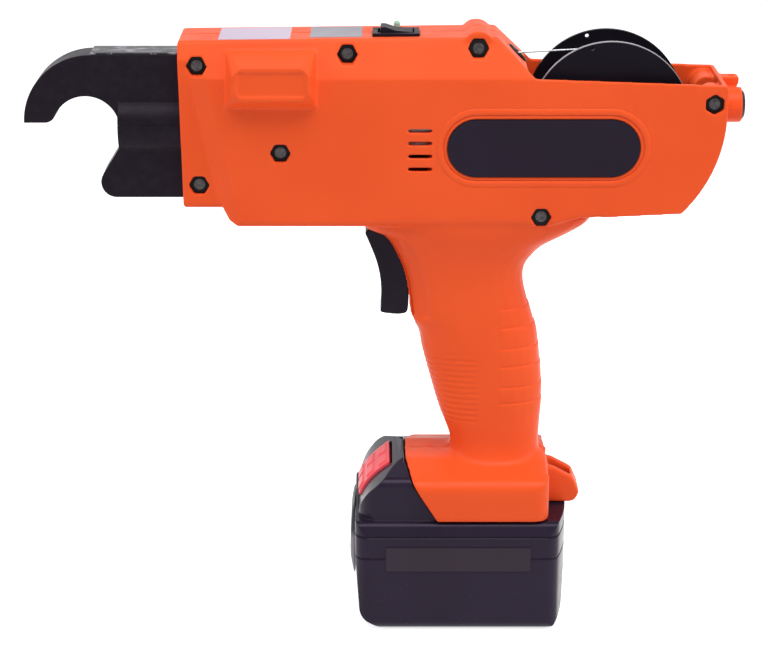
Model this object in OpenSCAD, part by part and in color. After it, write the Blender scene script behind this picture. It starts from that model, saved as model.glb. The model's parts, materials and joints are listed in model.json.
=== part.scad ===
// Rebar tying tool: pistol grip, nose jaws, wire reel and slide-on battery.
// Millimetres. Z is up, -X is the nose, the battery's base is at Z = 0.

/* [Stack] */
// Height of the battery body under the foot
batt_h = 54; // [54:0.5:57]
// Height of the foot round the battery rails
foot_h = 24.5; // [24.5:0.5:27]
// Length of the grip between foot and body
grip_h = 115; // [112:1:120]
// Height of the body at its nose end
body_h = 83; // [83:0.5:86]

/* [Body] */
// Length of the body
body_l = 243.5; // [243.5:0.5:247]
// Reach of the body ahead of the battery's middle
body_lead = 127; // [126:0.5:128]
// Width of the body
body_w = 48; // [48:0.5:51]
// Width of the narrow collar round the nose
collar_w = 40; // [39.5:0.5:42]
// Width of the flat top
top_w = 33; // [32:0.5:36]
// Wall of the moulded shells
wall = 2.5; // [2.3:0.1:2.6]
// Length of the name plate
plate_l = 86; // [80:1:90]
// Height of the name plate
plate_h = 26; // [24:0.5:28]

/* [Nose] */
// Radius of the bar seat in the upper jaw
seat_r = 15.2; // [14.6:0.1:15.4]
// Outer radius of the hook
hook_r = 31; // [30.5:0.1:32]
// Width of the upper jaw
jaw_w = 18; // [17:0.5:20]
// Radius of the twist tube
tube_r = 14.6; // [14:0.1:15]

/* [Twist drive] */
// Radius of the twist motor
motor_r = 18; // [17:0.1:18.4]
// Length of the twist motor
motor_l = 54; // [52:0.5:54]
// Module of the planetary gears
gear_m = 0.7; // [0.66:0.01:0.71]
// Stroke of the twist sleeve
sleeve_stroke = 7; // [5:0.5:7]

/* [Wire] */
// Diameter of the tie wire
wire_d = 0.8; // [0.7:0.05:0.85]
// Radius of the feed rollers
roller_r = 4; // [3.6:0.1:4.2]
// Radius of the reel's flanges
reel_r = 36; // [35:0.1:36.4]
// Width of the reel
reel_w = 32; // [31:0.5:33]
// Radius of the reel's axle
axle_r = 4; // [3.6:0.1:4.4]
// Loops shown in the outer layer of wire
wind_n = 20; // [16:1:20]

/* [Grip] */
// Depth of the grip that its outline follows
grip_d = 54; // [52:0.5:56]
// Width of the grip that its sections follow
grip_w = 35; // [34:0.5:36]
// Width of the trigger
trigger_w = 15; // [14:0.5:16]

/* [Switch] */
// Length of the rocker switch's bezel
bezel_l = 21; // [20:0.5:22]
// Width of the rocker switch's bezel
bezel_w = 15; // [14:0.5:16]

/* [Battery] */
// Length of the battery
batt_l = 100; // [100:0.5:104]
// Width of the battery
batt_w = 72; // [72:0.5:76]
// Radius of a cell
cell_r = 9.1; // [8.9:0.05:9.2]
// Width of the foot
foot_w = 68; // [68:0.5:71]
// Width of the latch button
latch_w = 28; // [26:0.5:30]

/* [Hidden] */
$fn = 48;

// Clearances and the overrun of cuts
fit = 0.05;
slip = 0.15;
gap = 0.3;
part_gap = 0.5;
over = 1;
far = 400;

// Levels and ends
foot_z = batt_h + part_gap;
foot_top = foot_z + foot_h;
body_z = foot_top + grip_h;
top_z = body_z + body_h;
front_x = -body_lead;
rear_x = front_x + body_l;
half_w = body_w / 2;
collar_half = collar_w / 2;
top_half = top_w / 2;

// Side outline of the body
front_lean = 1.3;
front_rise = 0.8;
top_rise = 2.4;
top_round = 2;
slope_run = 17;
slope_drop = 17.4;
rail_fall = 3;
rear_r = 64.5;
rear_arc_h = 52;
rear_arc_angle = 45;
heel_back = 13;
heel_rise = 4.2;
heel_run = 14.5;
chin_back = 25;
chin_run = 7;
chin_step = 8.1;
chin_shares = [0.6, 0.35];
crease_drop = 15;
edge_r = 1.5;
low_round = 3;
collar_round = 2;
reel_back = 51.5;
reel_drop = 35.5;
reel_x = rear_x - reel_back;
reel_z = top_z - reel_drop;
bay_gap = 1.2;
bay_x = reel_x - reel_r - bay_gap;
slope_lead = 3.2;
slope_x = bay_x - slope_run + slope_lead;
rail_z = top_z + top_rise - slope_drop;
top_tilt = atan((top_rise - front_rise) / (slope_x - front_x + front_lean));

// Narrow collar at the nose and its ramp
ramp_back = 25.2;
ramp_h = 4;
ramp_l = 8;
ramp_tilt = 11.9;

// Side block over the cutter lever
block_back = 20.2;
block_down = 27.8;
block_x = front_x + block_back;
block_l = 40.5;
block_z = top_z - block_down;
block_side_h = 12.8;
block_top_h = 24.9;
block_face_in = 3.6;
block_face_l = 34.4;
block_face_low = 4.7;
block_face_h = 15.1;
block_out = 9;
block_cut = 3.5;
block_hollow = 3;
panel_rim = 2;
panel_deep = 0.6;

// Vents and plate seat
vent_l = 11;
vent_t = 1.6;
vent_pitch = 5.9;
vent_n = 4;
vent_back = 101.3;
vent_up = 27;
vent_x = front_x + vent_back;
vent_z = body_z + vent_up;
plate_fore = 30;
plate_up = 36.8;
plate_x = reel_x - plate_fore;
plate_z = body_z + plate_up;
plate_rim = 3;
plate_outer = 4.8;
plate_step = 0.5;
plate_seat = 1.2;
plate_t = 1.6;

// Through bolts: place, nut seat, inner end of the boss
bolt_r = 2.5;
bolt_fit = 0.1;
nut_af = 8;
nut_r = nut_af / 2 / cos(30);
nut_t = 4;
head_r = 4.25;
head_t = 4.5;
boss_r = 6.8;
seat_mid = 13.4;
seat_deep = 11.5;
seat_side = 17.5;
seat_slope = 12.6;
root_half = 13;
nose_bolt_back = 7.3;
nose_bolt_drop = 10;
nose_bolt_rise = 18.6;
nose_bolt_x = front_x + nose_bolt_back;
nose_bolt_up = top_z - nose_bolt_drop;
nose_bolt_low = body_z + nose_bolt_rise;
mid_bolt_back = 74.3;
mid_bolt_drop = 5;
mid_bolt_x = front_x + mid_bolt_back;
mid_bolt_z = top_z - mid_bolt_drop;
gear_bolt_back = 44.2;
gear_bolt_rise = 34.3;
gear_bolt_x = front_x + gear_bolt_back;
gear_bolt_z = body_z + gear_bolt_rise;
gear_bolt_in = 15.6;
slope_bolt_fore = 59.4;
slope_bolt_drop = 2.4;
slope_bolt_x = reel_x - slope_bolt_fore;
slope_bolt_z = top_z - slope_bolt_drop;
slope_bolt_in = 11;
slope_boss_r = 7.4;
rear_bolt_fore = 5.8;
rear_bolt_rise = 56.5;
rear_bolt_x = rear_x - rear_bolt_fore;
rear_bolt_z = body_z + rear_bolt_rise;
rear_bolt_in = 6;
heel_bolt_fore = 30.5;
heel_bolt_rise = 4.6;
heel_bolt_x = reel_x - heel_bolt_fore;
heel_bolt_z = body_z + heel_bolt_rise;
bolts = [[nose_bolt_x, nose_bolt_up, seat_mid, root_half + slip, 0],
         [nose_bolt_x, nose_bolt_low, seat_mid, root_half + slip, 0],
         [mid_bolt_x, mid_bolt_z, seat_deep, 0, 0],
         [gear_bolt_x, gear_bolt_z, seat_side, gear_bolt_in, 0],
         [slope_bolt_x, slope_bolt_z, seat_slope, slope_bolt_in, 0],
         [rear_bolt_x, rear_bolt_z, seat_side, rear_bolt_in, 30],
         [heel_bolt_x, heel_bolt_z, seat_side, 0, 0]];

// Nose jaws
tw_rise = 43;
tw_z = body_z + tw_rise;
split_up = 2;
split_z = tw_z + split_up;
hook_reach = 41;
hook_rise = 2;
hook_x = front_x - hook_reach;
hook_z = tw_z + hook_rise;
seat_fore = 3;
seat_drop = 1;
seat_x = hook_x - seat_fore;
seat_z = tw_z - seat_drop;
arm_top = hook_z + hook_r;
tip_r = 5;
tip_z = split_z + tip_r;
tip_x = seat_x - sqrt((seat_r + tip_r) ^ 2 - (tip_z - seat_z) ^ 2);
root_up = 1.3;
nose_end = front_x + wall;
root_x = nose_end + slip;
root_l = 11;
root_end = root_x + root_l;
root_rise = 12.2;
root_low = body_z + root_rise;
bore_r = 8.5;
tube_reach = 29.3;
tube_x = front_x - tube_reach;
lower_w = 20;
jaw_rise = 10.6;
jaw_low = body_z + jaw_rise;
lip_reach = 38;
lip_x = front_x - lip_reach;
lip_r = 7;
throat_drop = 9.4;
throat_z = tw_z - throat_drop;
guide_w = 3;
guide_d = 2.5;
cover_t = 1;
cover_w = 16;
nose_hole = 0.25;

// Planetary drive
sun_n = 12;
planet_n = 18;
ring_n = 48;
tooth_up_share = 0.8;
tooth_down_share = 1.1;
tooth_up = tooth_up_share * gear_m;
tooth_down = tooth_down_share * gear_m;
backlash = 0.12;
sun_r = gear_m * sun_n / 2;
planet_r = gear_m * planet_n / 2;
ring_r = gear_m * ring_n / 2;
carrier_r = sun_r + planet_r;
flank_n = 4;
feed_fore = 59;
feed_x = reel_x - feed_fore;
feed_motor_r = 11;
motor_gap = 1;
motor_end = feed_x - feed_motor_r - motor_gap;
motor_x = motor_end - motor_l;
ring_l = 16;
ring_wall = 2.6;
ring_x = motor_x - ring_l;
ring_out = ring_r + tooth_down + ring_wall;
planet_l = 10;
planet_back = 3;
planet_pin_r = 2;
carrier_t = 3.6;
carrier_rim = 3.4;
carrier_disc_r = carrier_r + carrier_rim;
carrier_x = ring_x - carrier_t - gap;
motor_shaft_r = 1.6;
motor_shaft_in = 12;
sun_l = 11;
shaft_r = 5;
bearing_l = 6.4;
bearing_r = 11;
bearing_back = 34.7;
bearing_x = front_x + bearing_back;
sleeve_reach = 11;
sleeve_x = front_x - sleeve_reach;
sleeve_front_l = 33;
sleeve_front_r = 8.1;
sleeve_l = 44;
sleeve_r = 12;
groove_r = 9;
groove_w = 3.6;
groove_in = 5.5;
groove_x = sleeve_x + sleeve_front_l + groove_in;
claw_reach = 14;
claw_pivot_x = front_x - claw_reach;
claw_pivot_y = 2.6;
claw_pin_r = 1;
claw_pin_h = 7.2;
claw_t = 3;
claw_l = 14;
claw_out = 4.7;
claw_in = 0.4;
claw_open_angle = 12;
claw_hook = 2.2;
claw_root_in = 1.2;
clevis_l = 9;
clevis_front = 5;

// Cutter lever beside the sleeve
lever_y = 14.2;
lever_t = 3;
lever_x = groove_x;
lever_rise = 23;
lever_z = tw_z + lever_rise;
lever_r = 4.5;
lever_tip_r = 3;
finger_r = 1.6;
finger_y = 9.6;
lever_pin_r = 2;
lever_pin_l = 8;
blade_fore = 10.5;
blade_low = 2.6;
blade_w = 3;
blade_h = 5;
blade_over = 3;
lever_boss_r = 5;

// Wire line, measured along itself from over the reel
wind_share = 0.75;
wind_r = reel_r * wind_share;
wire_tilt = 3.15;
wire_drop = 5.3;
wire_x = reel_x;
wire_z = top_z - wire_drop;
slope_fall_share = slope_drop / slope_run;
inlet_x = (top_z + top_rise - wire_z + slope_x * slope_fall_share + wire_x * tan(wire_tilt))
          / (slope_fall_share + tan(wire_tilt));
strand_start = 10;
strand_short = 1.2;
bend_share = 1.1;
blade_x = lever_x - blade_fore;
strand_end = (wire_x - blade_x - blade_w / 2 - strand_short) / cos(wire_tilt);
inlet_r = 4;
inlet_bore = 1.2;
inlet_proud = 0.6;
inlet_gap = 2.6;
inlet_from = (wire_x - inlet_x) / cos(wire_tilt) - 2 * inlet_r;
inlet_end = (wire_x - feed_x - roller_r - inlet_gap) / cos(wire_tilt);
flare_in = 2;
flare_l = 4.3;
flare_r = 3.3;
bend_from = (wire_x - inlet_x) / cos(wire_tilt) + flare_in;
guide_r = 1.75;
guide_bore = 0.9;
guide_hole_l = 60;
tube_gap = 2.3;
tube_short = 6.4;
tube_from = (wire_x - feed_x + roller_r + tube_gap) / cos(wire_tilt);
tube_end = (wire_x - blade_x - blade_w / 2 - tube_short) / cos(wire_tilt);

// Feed unit under the inlet
feed_wire_z = wire_z - (wire_x - feed_x) * tan(wire_tilt);
roller_h = 4;
roller_y = roller_r + wire_d / 2 + fit;
feed_motor_rise = 12;
feed_motor_z = body_z + feed_motor_rise;
feed_motor_h = 50;
feed_shaft_r = 1.5;
feed_shaft_in = 8;
feed_plate_t = 2.5;
feed_plate_l = 22;
feed_plate_w = 30;
feed_plate_z = feed_motor_z + feed_motor_h;
idler_fore = 8;
idler_pivot_x = feed_x - idler_fore;
idler_pivot_y = 10.5;
idler_pin_r = 1.5;
idler_arm_t = 2.5;
idler_arm_r = 3.2;
idler_arm_z = feed_plate_z + feed_plate_t + slip;
idler_stub_r = 1.5;
idler_hub_r = 2.56;

// Reel, axle and brake
flange_t = 2;
hub_r = 13;
flange_hole_r = 0.9;
flange_hole_share = 0.945;
flange_hole_up = reel_r * flange_hole_share;
flange_hole_turn = 15;
wind_rings = 24;
wind_sides = 6;
core_in = 0.8;
core_side = 0.4;
axle_end = 20;
bay_half = half_w - wall;
pad_l = 15;
pad_gap = 0.8;
pad_face = reel_w / 2 + pad_gap;
pad_low = 10;
brake_rise = 51.5;
brake_z = body_z + brake_rise;
shoe_gap = 0.35;
shoe_t = 3.4;
shoe_h = 4.4;
shoe_w = 30;
shoe_travel = 2;
shoe_x = reel_x + reel_r + shoe_gap;
stem_r = 1.3;
brake_boss_r = 8;
brake_boss_l = 9;
brake_bore_r = 5;
brake_bore_l = 7.5;
cap_r = 7.3;
cap_t = 1.4;
cap_top_r = 5.6;
brake_hole_r = 3;
stem_l = rear_x + brake_boss_l - shoe_x - shoe_t - shoe_travel - gap;
lug_l = 8.5;
lug_w = 8;
lug_t = 3;
lug_y = 5;
lug_rise = 60.2;
lug_z = body_z + lug_rise;
lug_hole_r = 1.5;
lug_web = 2.4;

// Grip loft: height, front, rear and half-width shares
grip_shares = [[-0.05, -0.14, 0.72, 0.6], [0, -0.1, 0.69, 0.52], [0.04, -0.095, 0.682, 0.475],
               [0.08, -0.108, 0.685, 0.46], [0.19, -0.198, 0.697, 0.47], [0.313, -0.274, 0.697, 0.485],
               [0.448, -0.35, 0.667, 0.49], [0.52, -0.376, 0.648, 0.49], [0.56, -0.42, 0.622, 0.49],
               [0.6, -0.482, 0.595, 0.492], [0.66, -0.497, 0.556, 0.495],
               [0.74, -0.52, 0.52, 0.505], [0.80, -0.556, 0.533, 0.525],
               [0.845, -0.597, 0.6, 0.55], [0.89, -0.647, 0.7, 0.585],
               [0.93, -0.715, 0.87, 0.622], [0.962, -0.86, 1.0, 0.645],
               [0.985, -0.91, 1.07, 0.655], [1.018, -0.93, 1.11, 0.66]];
grip_sides = 24;
grip_power_share = 0.78;
grip_lift = 8;
grip_bay_in = 0.5;

// Trigger and its switch
pull_fore = 27;
pull_drop = 7;
pull_x = -pull_fore;
pull_z = body_z - pull_drop;
pull_pin_r = 2;
pull_pin_l = 30;
pull_boss_r = 4.2;
pull_boss_in = 1.5;
pull_boss_y = grip_w / 2 - pull_boss_in;
pull_hub_r = 5.2;
trigger_h = 45.5;
trigger_d = 24;
trigger_round = 1;
// Outline shares of the trigger, from its pivot
trigger_shares = [[0.76, 0.0], [0.64, 0.15], [0.53, 0.31], [0.46, 0.49], [0.445, 0.69],
                  [0.46, 0.80], [0.42, 0.845], [0.0, 0.855], [-0.08, 0.75], [-0.1, 0.4],
                  [-0.2, 0.1], [-0.2, -0.05], [0.1, -0.11], [0.62, -0.075]];
slot_front = 30;
slot_back = 13;
slot_low = 44;
slot_up = 10;
micro_x = -13;
micro_l = 12;
micro_h = 20;
micro_w = 10;
micro_drop = 30;
micro_z = pull_z - micro_drop;
micro_pin_share = 0.7;
micro_pin_r = 1.6;
micro_pin_l = 6;
micro_pad_h = 12;
micro_pad_in = 2.5;
micro_pad_y = grip_w / 2 - micro_pad_in;
pull_spring_drop = 35;
pull_spring_z = pull_z - pull_spring_drop;
pull_spring_x = -24.6;
pull_spring_r = 2.6;
spring_d = 0.6;
rib_t = 2.5;
spring_seat_h = 9;
spring_seat_x = -14;
spring_seat_in = 3.5;
spring_seat_y = grip_w / 2 - spring_seat_in;
rib_shares = [0.25, 0.8];

// Control board
board_back = 57;
board_x = front_x + board_back;
board_l = 60;
board_w = 34;
board_t = 1.6;
board_rise = 9;
board_z = body_z + board_rise;
chip_l = 12;
chip_w = 10;
chip_h = 4;
cap_part_r = 4;
cap_part_h = 9;
cap_part_share = 0.45;

// Rocker switch and lamp
switch_back = 96;
switch_rise = 1.4;
switch_x = front_x + switch_back;
switch_y = -3.5;
switch_z = top_z + switch_rise;
bezel_t = 1.8;
bezel_lip = 1.2;
switch_depth = 6;
rocker_end = 3;
rocker_edge = 2.5;
rocker_l = bezel_l - 2 * rocker_end;
rocker_w = bezel_w - 2 * rocker_edge;
rocker_low = 2.4;
rocker_rise = 4.2;
rocker_up = 2.6;
rocker_pin_r = 0.9;
rocker_pin_l = 0.8;
// Outline shares of the rocker: half lengths, heights
rocker_shares = [0.45, 0.32, 0.48, 0.3, 0.75, 0.2];
lamp_back = 96.5;
lamp_x = front_x + lamp_back;
lamp_y = 11;
lamp_r = 1.5;
lamp_h = 3.4;
lamp_deep = 5;

// Foot and strap loop
foot_front = 26.7;
foot_rear = 40.5;
foot_lean = 15;
foot_edge_shares = [[0, 1], [0.035, 0.95], [0.133, 0.87], [0.41, 0.575], [1, 0]];
foot_soft = 6;
foot_flat = 12.6;
foot_drop = 5.7;
foot_corner = 6;
rail_neck = 24;
rail_head = 30;
rail_lip = 4.5;
rail_h = 15.5;
rail_rear = 36;
loop_l = 16;
loop_w = 17;
loop_ear = 4;
loop_bar = 4.5;
loop_top = 3;
loop_root = 4;
loop_round = 3;
loop_shares = [0.4, 0.8, 0.5, 0.2, 0.85];
head_end = 21;
block_term_x = 23;
block_term_w = 40;
block_term_h = 10;
blade_n = 3;
blade_pitch = 13;
blade_t = 1;
blade_l = 10;
blade_tall = 6;

// Battery cases, latch and tab
seam_share = 0.685;
seam_z = batt_h * seam_share;
batt_wall = 2.2;
batt_front = batt_l / 2;
base_front = 38;
base_rear = 42;
base_round = 7;
side_round = 6;
plan_round = 7;
plan_bow = 6;
bevel_z = 6.2;
bevel_y = 3;
bevel_round = 4;
line_w = 0.8;
line_deep = 0.5;
hump_half = 31;
hump_flat = 13;
hump_drop = 6;
hump_over = 0.4;
hump_top = foot_top + hump_over;
hump_in = 1.5;
hump_round = 5;
hump_plan_r = 11;
base_shares = [0.4, 0.3];
hump_shares = [[1, 0], [0.985, 0.22], [0.93, 0.46], [0.84, 0.66], [0.73, 0.83], [0.64, 0.94],
               [0.575, 0.985]];
latch_from_angle = 104;
latch_to_angle = 167;
latch_rise = 1.2;
latch_deep = 3;
latch_travel = 1.8;
latch_fore = 2;
latch_up = 2;
latch_x = -foot_front - latch_fore;
latch_z = batt_h + latch_up;
latch_reach = 100;
latch_well = 40;
grip_bar_rows = 3;
grip_bar_rise = 0.7;
grip_bar_w = 9.6;
grip_bar_y = 6.4;
grip_bar_share = 0.62;
latch_side = 0.4;
latch_tilt = 37;
latch_spring_r = 3;
latch_spring_l = 6.4;
latch_spring_fore = 6.9;
latch_spring_up = 5.4;
cell_gap = 0.2;
cell_end = 1.3;
cell_pitch = 2 * cell_r + cell_gap;
cell_l = batt_w - 2 * batt_wall - 2 * cell_end;
cell_n = 4;
cell_mid = -1;
cell_lift = 1;
pack_t = 1.6;
pack_l = 60;
pack_w = 50;
screw_head_r = 2.8;
screw_head_t = 1.2;
screw_x = 30;
screw_y = 24;
screw_deep = 0.4;
tab_t = 2.4;
tab_w = 22;
tab_low = 19;
tab_h = 37;
tab_bow = 2.6;
tab_front = -batt_front - part_gap;
// Outline shares of the tab
tab_shares = [[0, 1], [0.5, 0.8], [0.7, 0.5], [0.7, 0.25], [0.1, 0]];
tab_back_shares = [[0.2, 0.025], [0.1, 0.25], [0.15, 0.5], [0.15, 0.8], [0.2, 1]];

function arc(cx, cz, r, a0, a1, n) =
  [for (i = [0:n]) let (a = a0 + (a1 - a0) * i / n) [cx + r * cos(a), cz + r * sin(a)]];
function curve(a, b, c, d, t) =
  0.5 * (2 * b + (c - a) * t + (2 * a - 5 * b + 4 * c - d) * t * t
         + (3 * b - a - 3 * c + d) * t * t * t);
function smooth(rows, k) =
  [for (i = [0:len(rows) - 2]) for (j = [0:k - 1])
       curve(rows[max(i - 1, 0)], rows[i], rows[i + 1], rows[min(i + 2, len(rows) - 1)], j / k),
   rows[len(rows) - 1]];
function power(v, p) = sign(v) * pow(abs(v), p);
function involute(a) = tan(a) * 180 / PI - a;
function tooth_half(n, thin, r) =
  let (pitch = gear_m * n / 2, base = pitch * cos(20), a = r > base ? acos(base / r) : 0)
  90 / n - thin / pitch * 90 / PI + involute(20) - involute(a);
function gear(n, low, high, thin) =
  [for (i = [0:n - 1])
       let (c = 360 * i / n,
            up = [for (k = [0:flank_n]) low + (high - low) * k / flank_n],
            down = [for (k = [flank_n:-1:0]) low + (high - low) * k / flank_n])
       each concat([for (r = up) let (a = c - tooth_half(n, thin, r)) [r * cos(a), r * sin(a)]],
                   [for (r = down) let (a = c + tooth_half(n, thin, r)) [r * cos(a), r * sin(a)]])];
function grip_ring(row, inset, lift, rear_limit) =
  let (front = row[1] * grip_d + inset,
       rear = min(row[2] * grip_d - inset, rear_limit),
       half = row[3] * grip_w - inset)
  [for (j = [0:grip_sides - 1])
       let (a = 360 * (j + 0.5) / grip_sides)
       [(front + rear) / 2 + (rear - front) / 2 * power(cos(a), grip_power_share),
        half * power(sin(a), grip_power_share), foot_top + row[0] * grip_h + lift]];
function latch_bar(i) = latch_from_angle + (latch_to_angle - latch_from_angle) * i / grip_bar_rows;
function wire_at(d) = [wire_x - d * cos(wire_tilt), 0, wire_z - d * sin(wire_tilt)];
function foot_edge(shift) =
  [for (p = smooth(foot_edge_shares, 3)) [p[0] * foot_lean - foot_front - shift, foot_z + p[1] * foot_h]];
function coil_ring(r, thick, a, z) =
  [for (s = [0:5]) [(r + thick * cos(60 * s)) * cos(a), (r + thick * cos(60 * s)) * sin(a),
                    z - thick * sin(60 * s)]];
function loop_ring(p, t, e, thick) =
  let (f = cross(e, t))
  [for (s = [0:wind_sides - 1])
       p + thick * (cos(360 * s / wind_sides) * e - sin(360 * s / wind_sides) * f)];

// The winding: its outer end leaves at the top
wind_turn = 360 * wind_n;
wind_step = 360 / wind_rings;
wind_bend = 0.8;
wind_start = reel_w / 2 - flange_t - wire_d / 2 - gap;
wind_stop = reel_w / 2 - flange_t - wind_bend - wire_d - fit;
wind_pitch = (wind_start + wind_stop) / wind_n;
function wind_at(a) = [wind_r * sin(a), wind_start - wind_pitch * a / 360, wind_r * cos(a)];
function wind_out(a) = [sin(a), 0, cos(a)];
function wind_way(a) = let (v = [cos(a), -wind_pitch / (2 * PI * wind_r), -sin(a)]) v / norm(v);
wind_tail = [for (q = [0:30:90])
                 let (t = wind_way(wind_turn) * cos(q) + [0, -1, 0] * sin(q))
                 [wind_at(wind_turn) + wind_bend * (wind_way(wind_turn) * sin(q)
                                                    + [0, -1, 0] * (1 - cos(q))), t,
                  wind_out(wind_turn)]];
wind_path = concat([[wind_at(0) - wind_way(0) * wire_d, wind_way(0), wind_out(0)]],
                   [for (a = [0:wind_step:wind_turn - wind_step / 2])
                        [wind_at(a), wind_way(a), wind_out(a)]],
                   wind_tail,
                   [[wind_tail[3][0] + [0, -1, 0] * wire_d, [0, -1, 0], wind_out(wind_turn)]]);
wind_gap = min([for (i = [0:wind_rings]) for (j = [i + wind_rings / 2:i + wind_rings * 3 / 2])
                    norm(wind_path[i][0] - wind_path[j][0]) - wire_d]);
echo(least_gap_of_the_winding_to_itself = wind_gap);

module skin(rings) {
  n = len(rings[0]);
  k = len(rings);
  sides = [for (i = [0:k - 2]) for (j = [0:n - 1])
               let (a = i * n + j, b = i * n + (j + 1) % n)
               each [[a, a + n, b + n], [a, b + n, b]]];
  low = [for (j = [1:n - 2]) [0, j, j + 1]];
  high = [for (j = [1:n - 2]) [(k - 1) * n, (k - 1) * n + j + 1, (k - 1) * n + j]];
  polyhedron(points = [for (r = rings) each r], faces = concat(sides, low, high));
}

module side(w) {
  rotate([90, 0, 0])
    linear_extrude(height = w, center = true)
      children();
}

module front(x, l) {
  translate([x, 0, 0])
    rotate([90, 0, 90])
      linear_extrude(height = l)
        children();
}

module rod_x(x, l, r) {
  translate([x, 0, 0])
    rotate([0, 90, 0])
      cylinder(h = l, r = r);
}

module rod_y(x, z, y0, y1, r, sides = $fn) {
  translate([x, y0, z])
    rotate([-90, 0, 0])
      cylinder(h = y1 - y0, r = r, $fn = sides);
}

module box(low, high) {
  translate(low)
    cube(high - low);
}

module coil(r, thick, l, turns) {
  steps = turns * 8;
  skin([for (i = [0:steps]) coil_ring(r, thick, 45 * i, thick + (l - 2 * thick) * i / steps)]);
}

module between(a, b, r) {
  v = b - a;
  translate(a)
    rotate([0, acos(v[2] / norm(v)), atan2(v[1], v[0])])
      cylinder(h = norm(v), r = r);
}

module on_wire(from) {
  translate([wire_x, 0, wire_z])
    rotate([0, -90 - wire_tilt, 0])
      translate([0, 0, from])
        children();
}

module keep_side(left) {
  intersection() {
    children();
    translate([-far, left ? -far : 0, -over])
      cube([2 * far, far, far]);
  }
}

// Housing

module body_outline() {
  offset(r = edge_r)
    offset(delta = -edge_r)
      polygon(concat([[front_x - front_lean, top_z + front_rise], [slope_x, top_z + top_rise],
                      [slope_x + slope_run, rail_z], [rear_x, rail_z - rail_fall]],
                     arc(rear_x - rear_r, body_z + rear_arc_h, rear_r, 0, -rear_arc_angle, 20),
                     [[reel_x - heel_back, body_z + heel_rise],
                      [reel_x - heel_back - heel_run, body_z],
                      [front_x + chin_back, body_z],
                      [front_x + chin_back - chin_run * chin_shares[0],
                       body_z + chin_step * chin_shares[1]],
                      [front_x + chin_back - chin_run, body_z + chin_step],
                      [front_x, body_z + chin_step]]));
}

module body_section(inset) {
  lean = (half_w - top_half) / (crease_drop);
  h = half_w - inset;
  rise = crease_drop + 2 * slope_drop;
  polygon([[-h, 0], [h, 0], [h, top_z - crease_drop],
           [h - lean * rise, top_z - crease_drop + rise],
           [lean * rise - h, top_z - crease_drop + rise], [-h, top_z - crease_drop]]);
}

module collar_cut(inset) {
  for (s = [-1, 1])
    translate([front_x + ramp_back, 0, body_z + ramp_h])
      rotate([0, -ramp_tilt, 0])
        translate([0, 0, -far])
          linear_extrude(height = 2 * far)
            polygon([[-far, s * (collar_half - inset)],
                     [-ramp_l, s * (collar_half - inset)],
                     [0, s * (half_w - inset + fit)], [0, s * far], [-far, s * far]]);
}

module top_section() {
  lean = (half_w - top_half) / crease_drop;
  w = top_half - lean * front_rise;
  offset(r = top_round)
    offset(delta = -top_round)
      polygon([[-w - lean * far, -far], [w + lean * far, -far], [w, 0], [-w, 0]]);
}

module edge_cut(x, l, y, z, r) {
  for (s = [-1, 1])
    front(x, l)
      translate([s * (y - r), z + r])
        difference() {
          translate([s > 0 ? 0 : -2 * r, -2 * r])
            square(2 * r);
          circle(r = r);
        }
}

module body_form() {
  difference() {
    intersection() {
      side(2 * half_w)
        body_outline();
      front(-far, 2 * far)
        body_section(0);
      translate([front_x - front_lean, 0, top_z + front_rise])
        rotate([0, -top_tilt, 0])
          front(-far, 2 * far)
            top_section();
    }
    collar_cut(0);
    edge_cut(front_x + chin_back - chin_run, far, half_w, body_z, low_round);
    edge_cut(front_x - front_lean - over, chin_back - chin_run + front_lean + over, collar_half,
             body_z + chin_step, collar_round);
  }
}

module body_room() {
  difference() {
    intersection() {
      side(2 * half_w)
        offset(delta = -wall)
          body_outline();
      front(-far, far + bay_x - wall)
        body_section(wall);
    }
    collar_cut(wall);
  }
}

module bay_room() {
  side(2 * bay_half)
    union() {
      intersection() {
        offset(delta = -wall)
          body_outline();
        translate([bay_x, 0])
          square([far, far]);
      }
      translate([bay_x, reel_z])
        square([rear_x - wall - bay_x, far]);
    }
}

module grip_form(inset, limit) {
  skin([for (row = smooth(grip_shares, 2)) grip_ring(row, inset, 0, limit)]);
}

module grip_room() {
  rows = smooth(grip_shares, 2);
  rings = [for (row = rows) grip_ring(row, wall, 0, bay_x - wall - grip_bay_in)];
  top = grip_ring(rows[len(rows) - 1], wall, grip_lift, bay_x - wall - grip_bay_in);
  skin(concat(rings, [top]));
}

module foot_section(inset, top) {
  h = foot_w / 2 - inset;
  offset(r = foot_soft)
    offset(delta = -foot_soft)
      polygon([[-h, 0], [h, 0], [h, top - foot_drop], [foot_flat, top], [-foot_flat, top],
               [-h, top - foot_drop]]);
}

module foot_form() {
  intersection() {
    side(foot_w)
      polygon(concat(foot_edge(0), [[foot_rear, foot_z], [foot_rear, foot_top]]));
    front(-far, 2 * far)
      foot_section(0, foot_top);
    linear_extrude(height = far)
      offset(r = foot_corner)
        offset(delta = -foot_corner)
          translate([-far, -foot_w / 2])
            square([far + foot_rear, foot_w]);
  }
}

module rail_room(loose) {
  box([-far, -rail_neck - loose, foot_z - over],
      [rail_rear, rail_neck + loose, foot_z + rail_lip + over]);
  box([-far, -rail_head - loose, foot_z + rail_lip - loose],
      [rail_rear, rail_head + loose, foot_z + rail_h + loose]);
}

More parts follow.
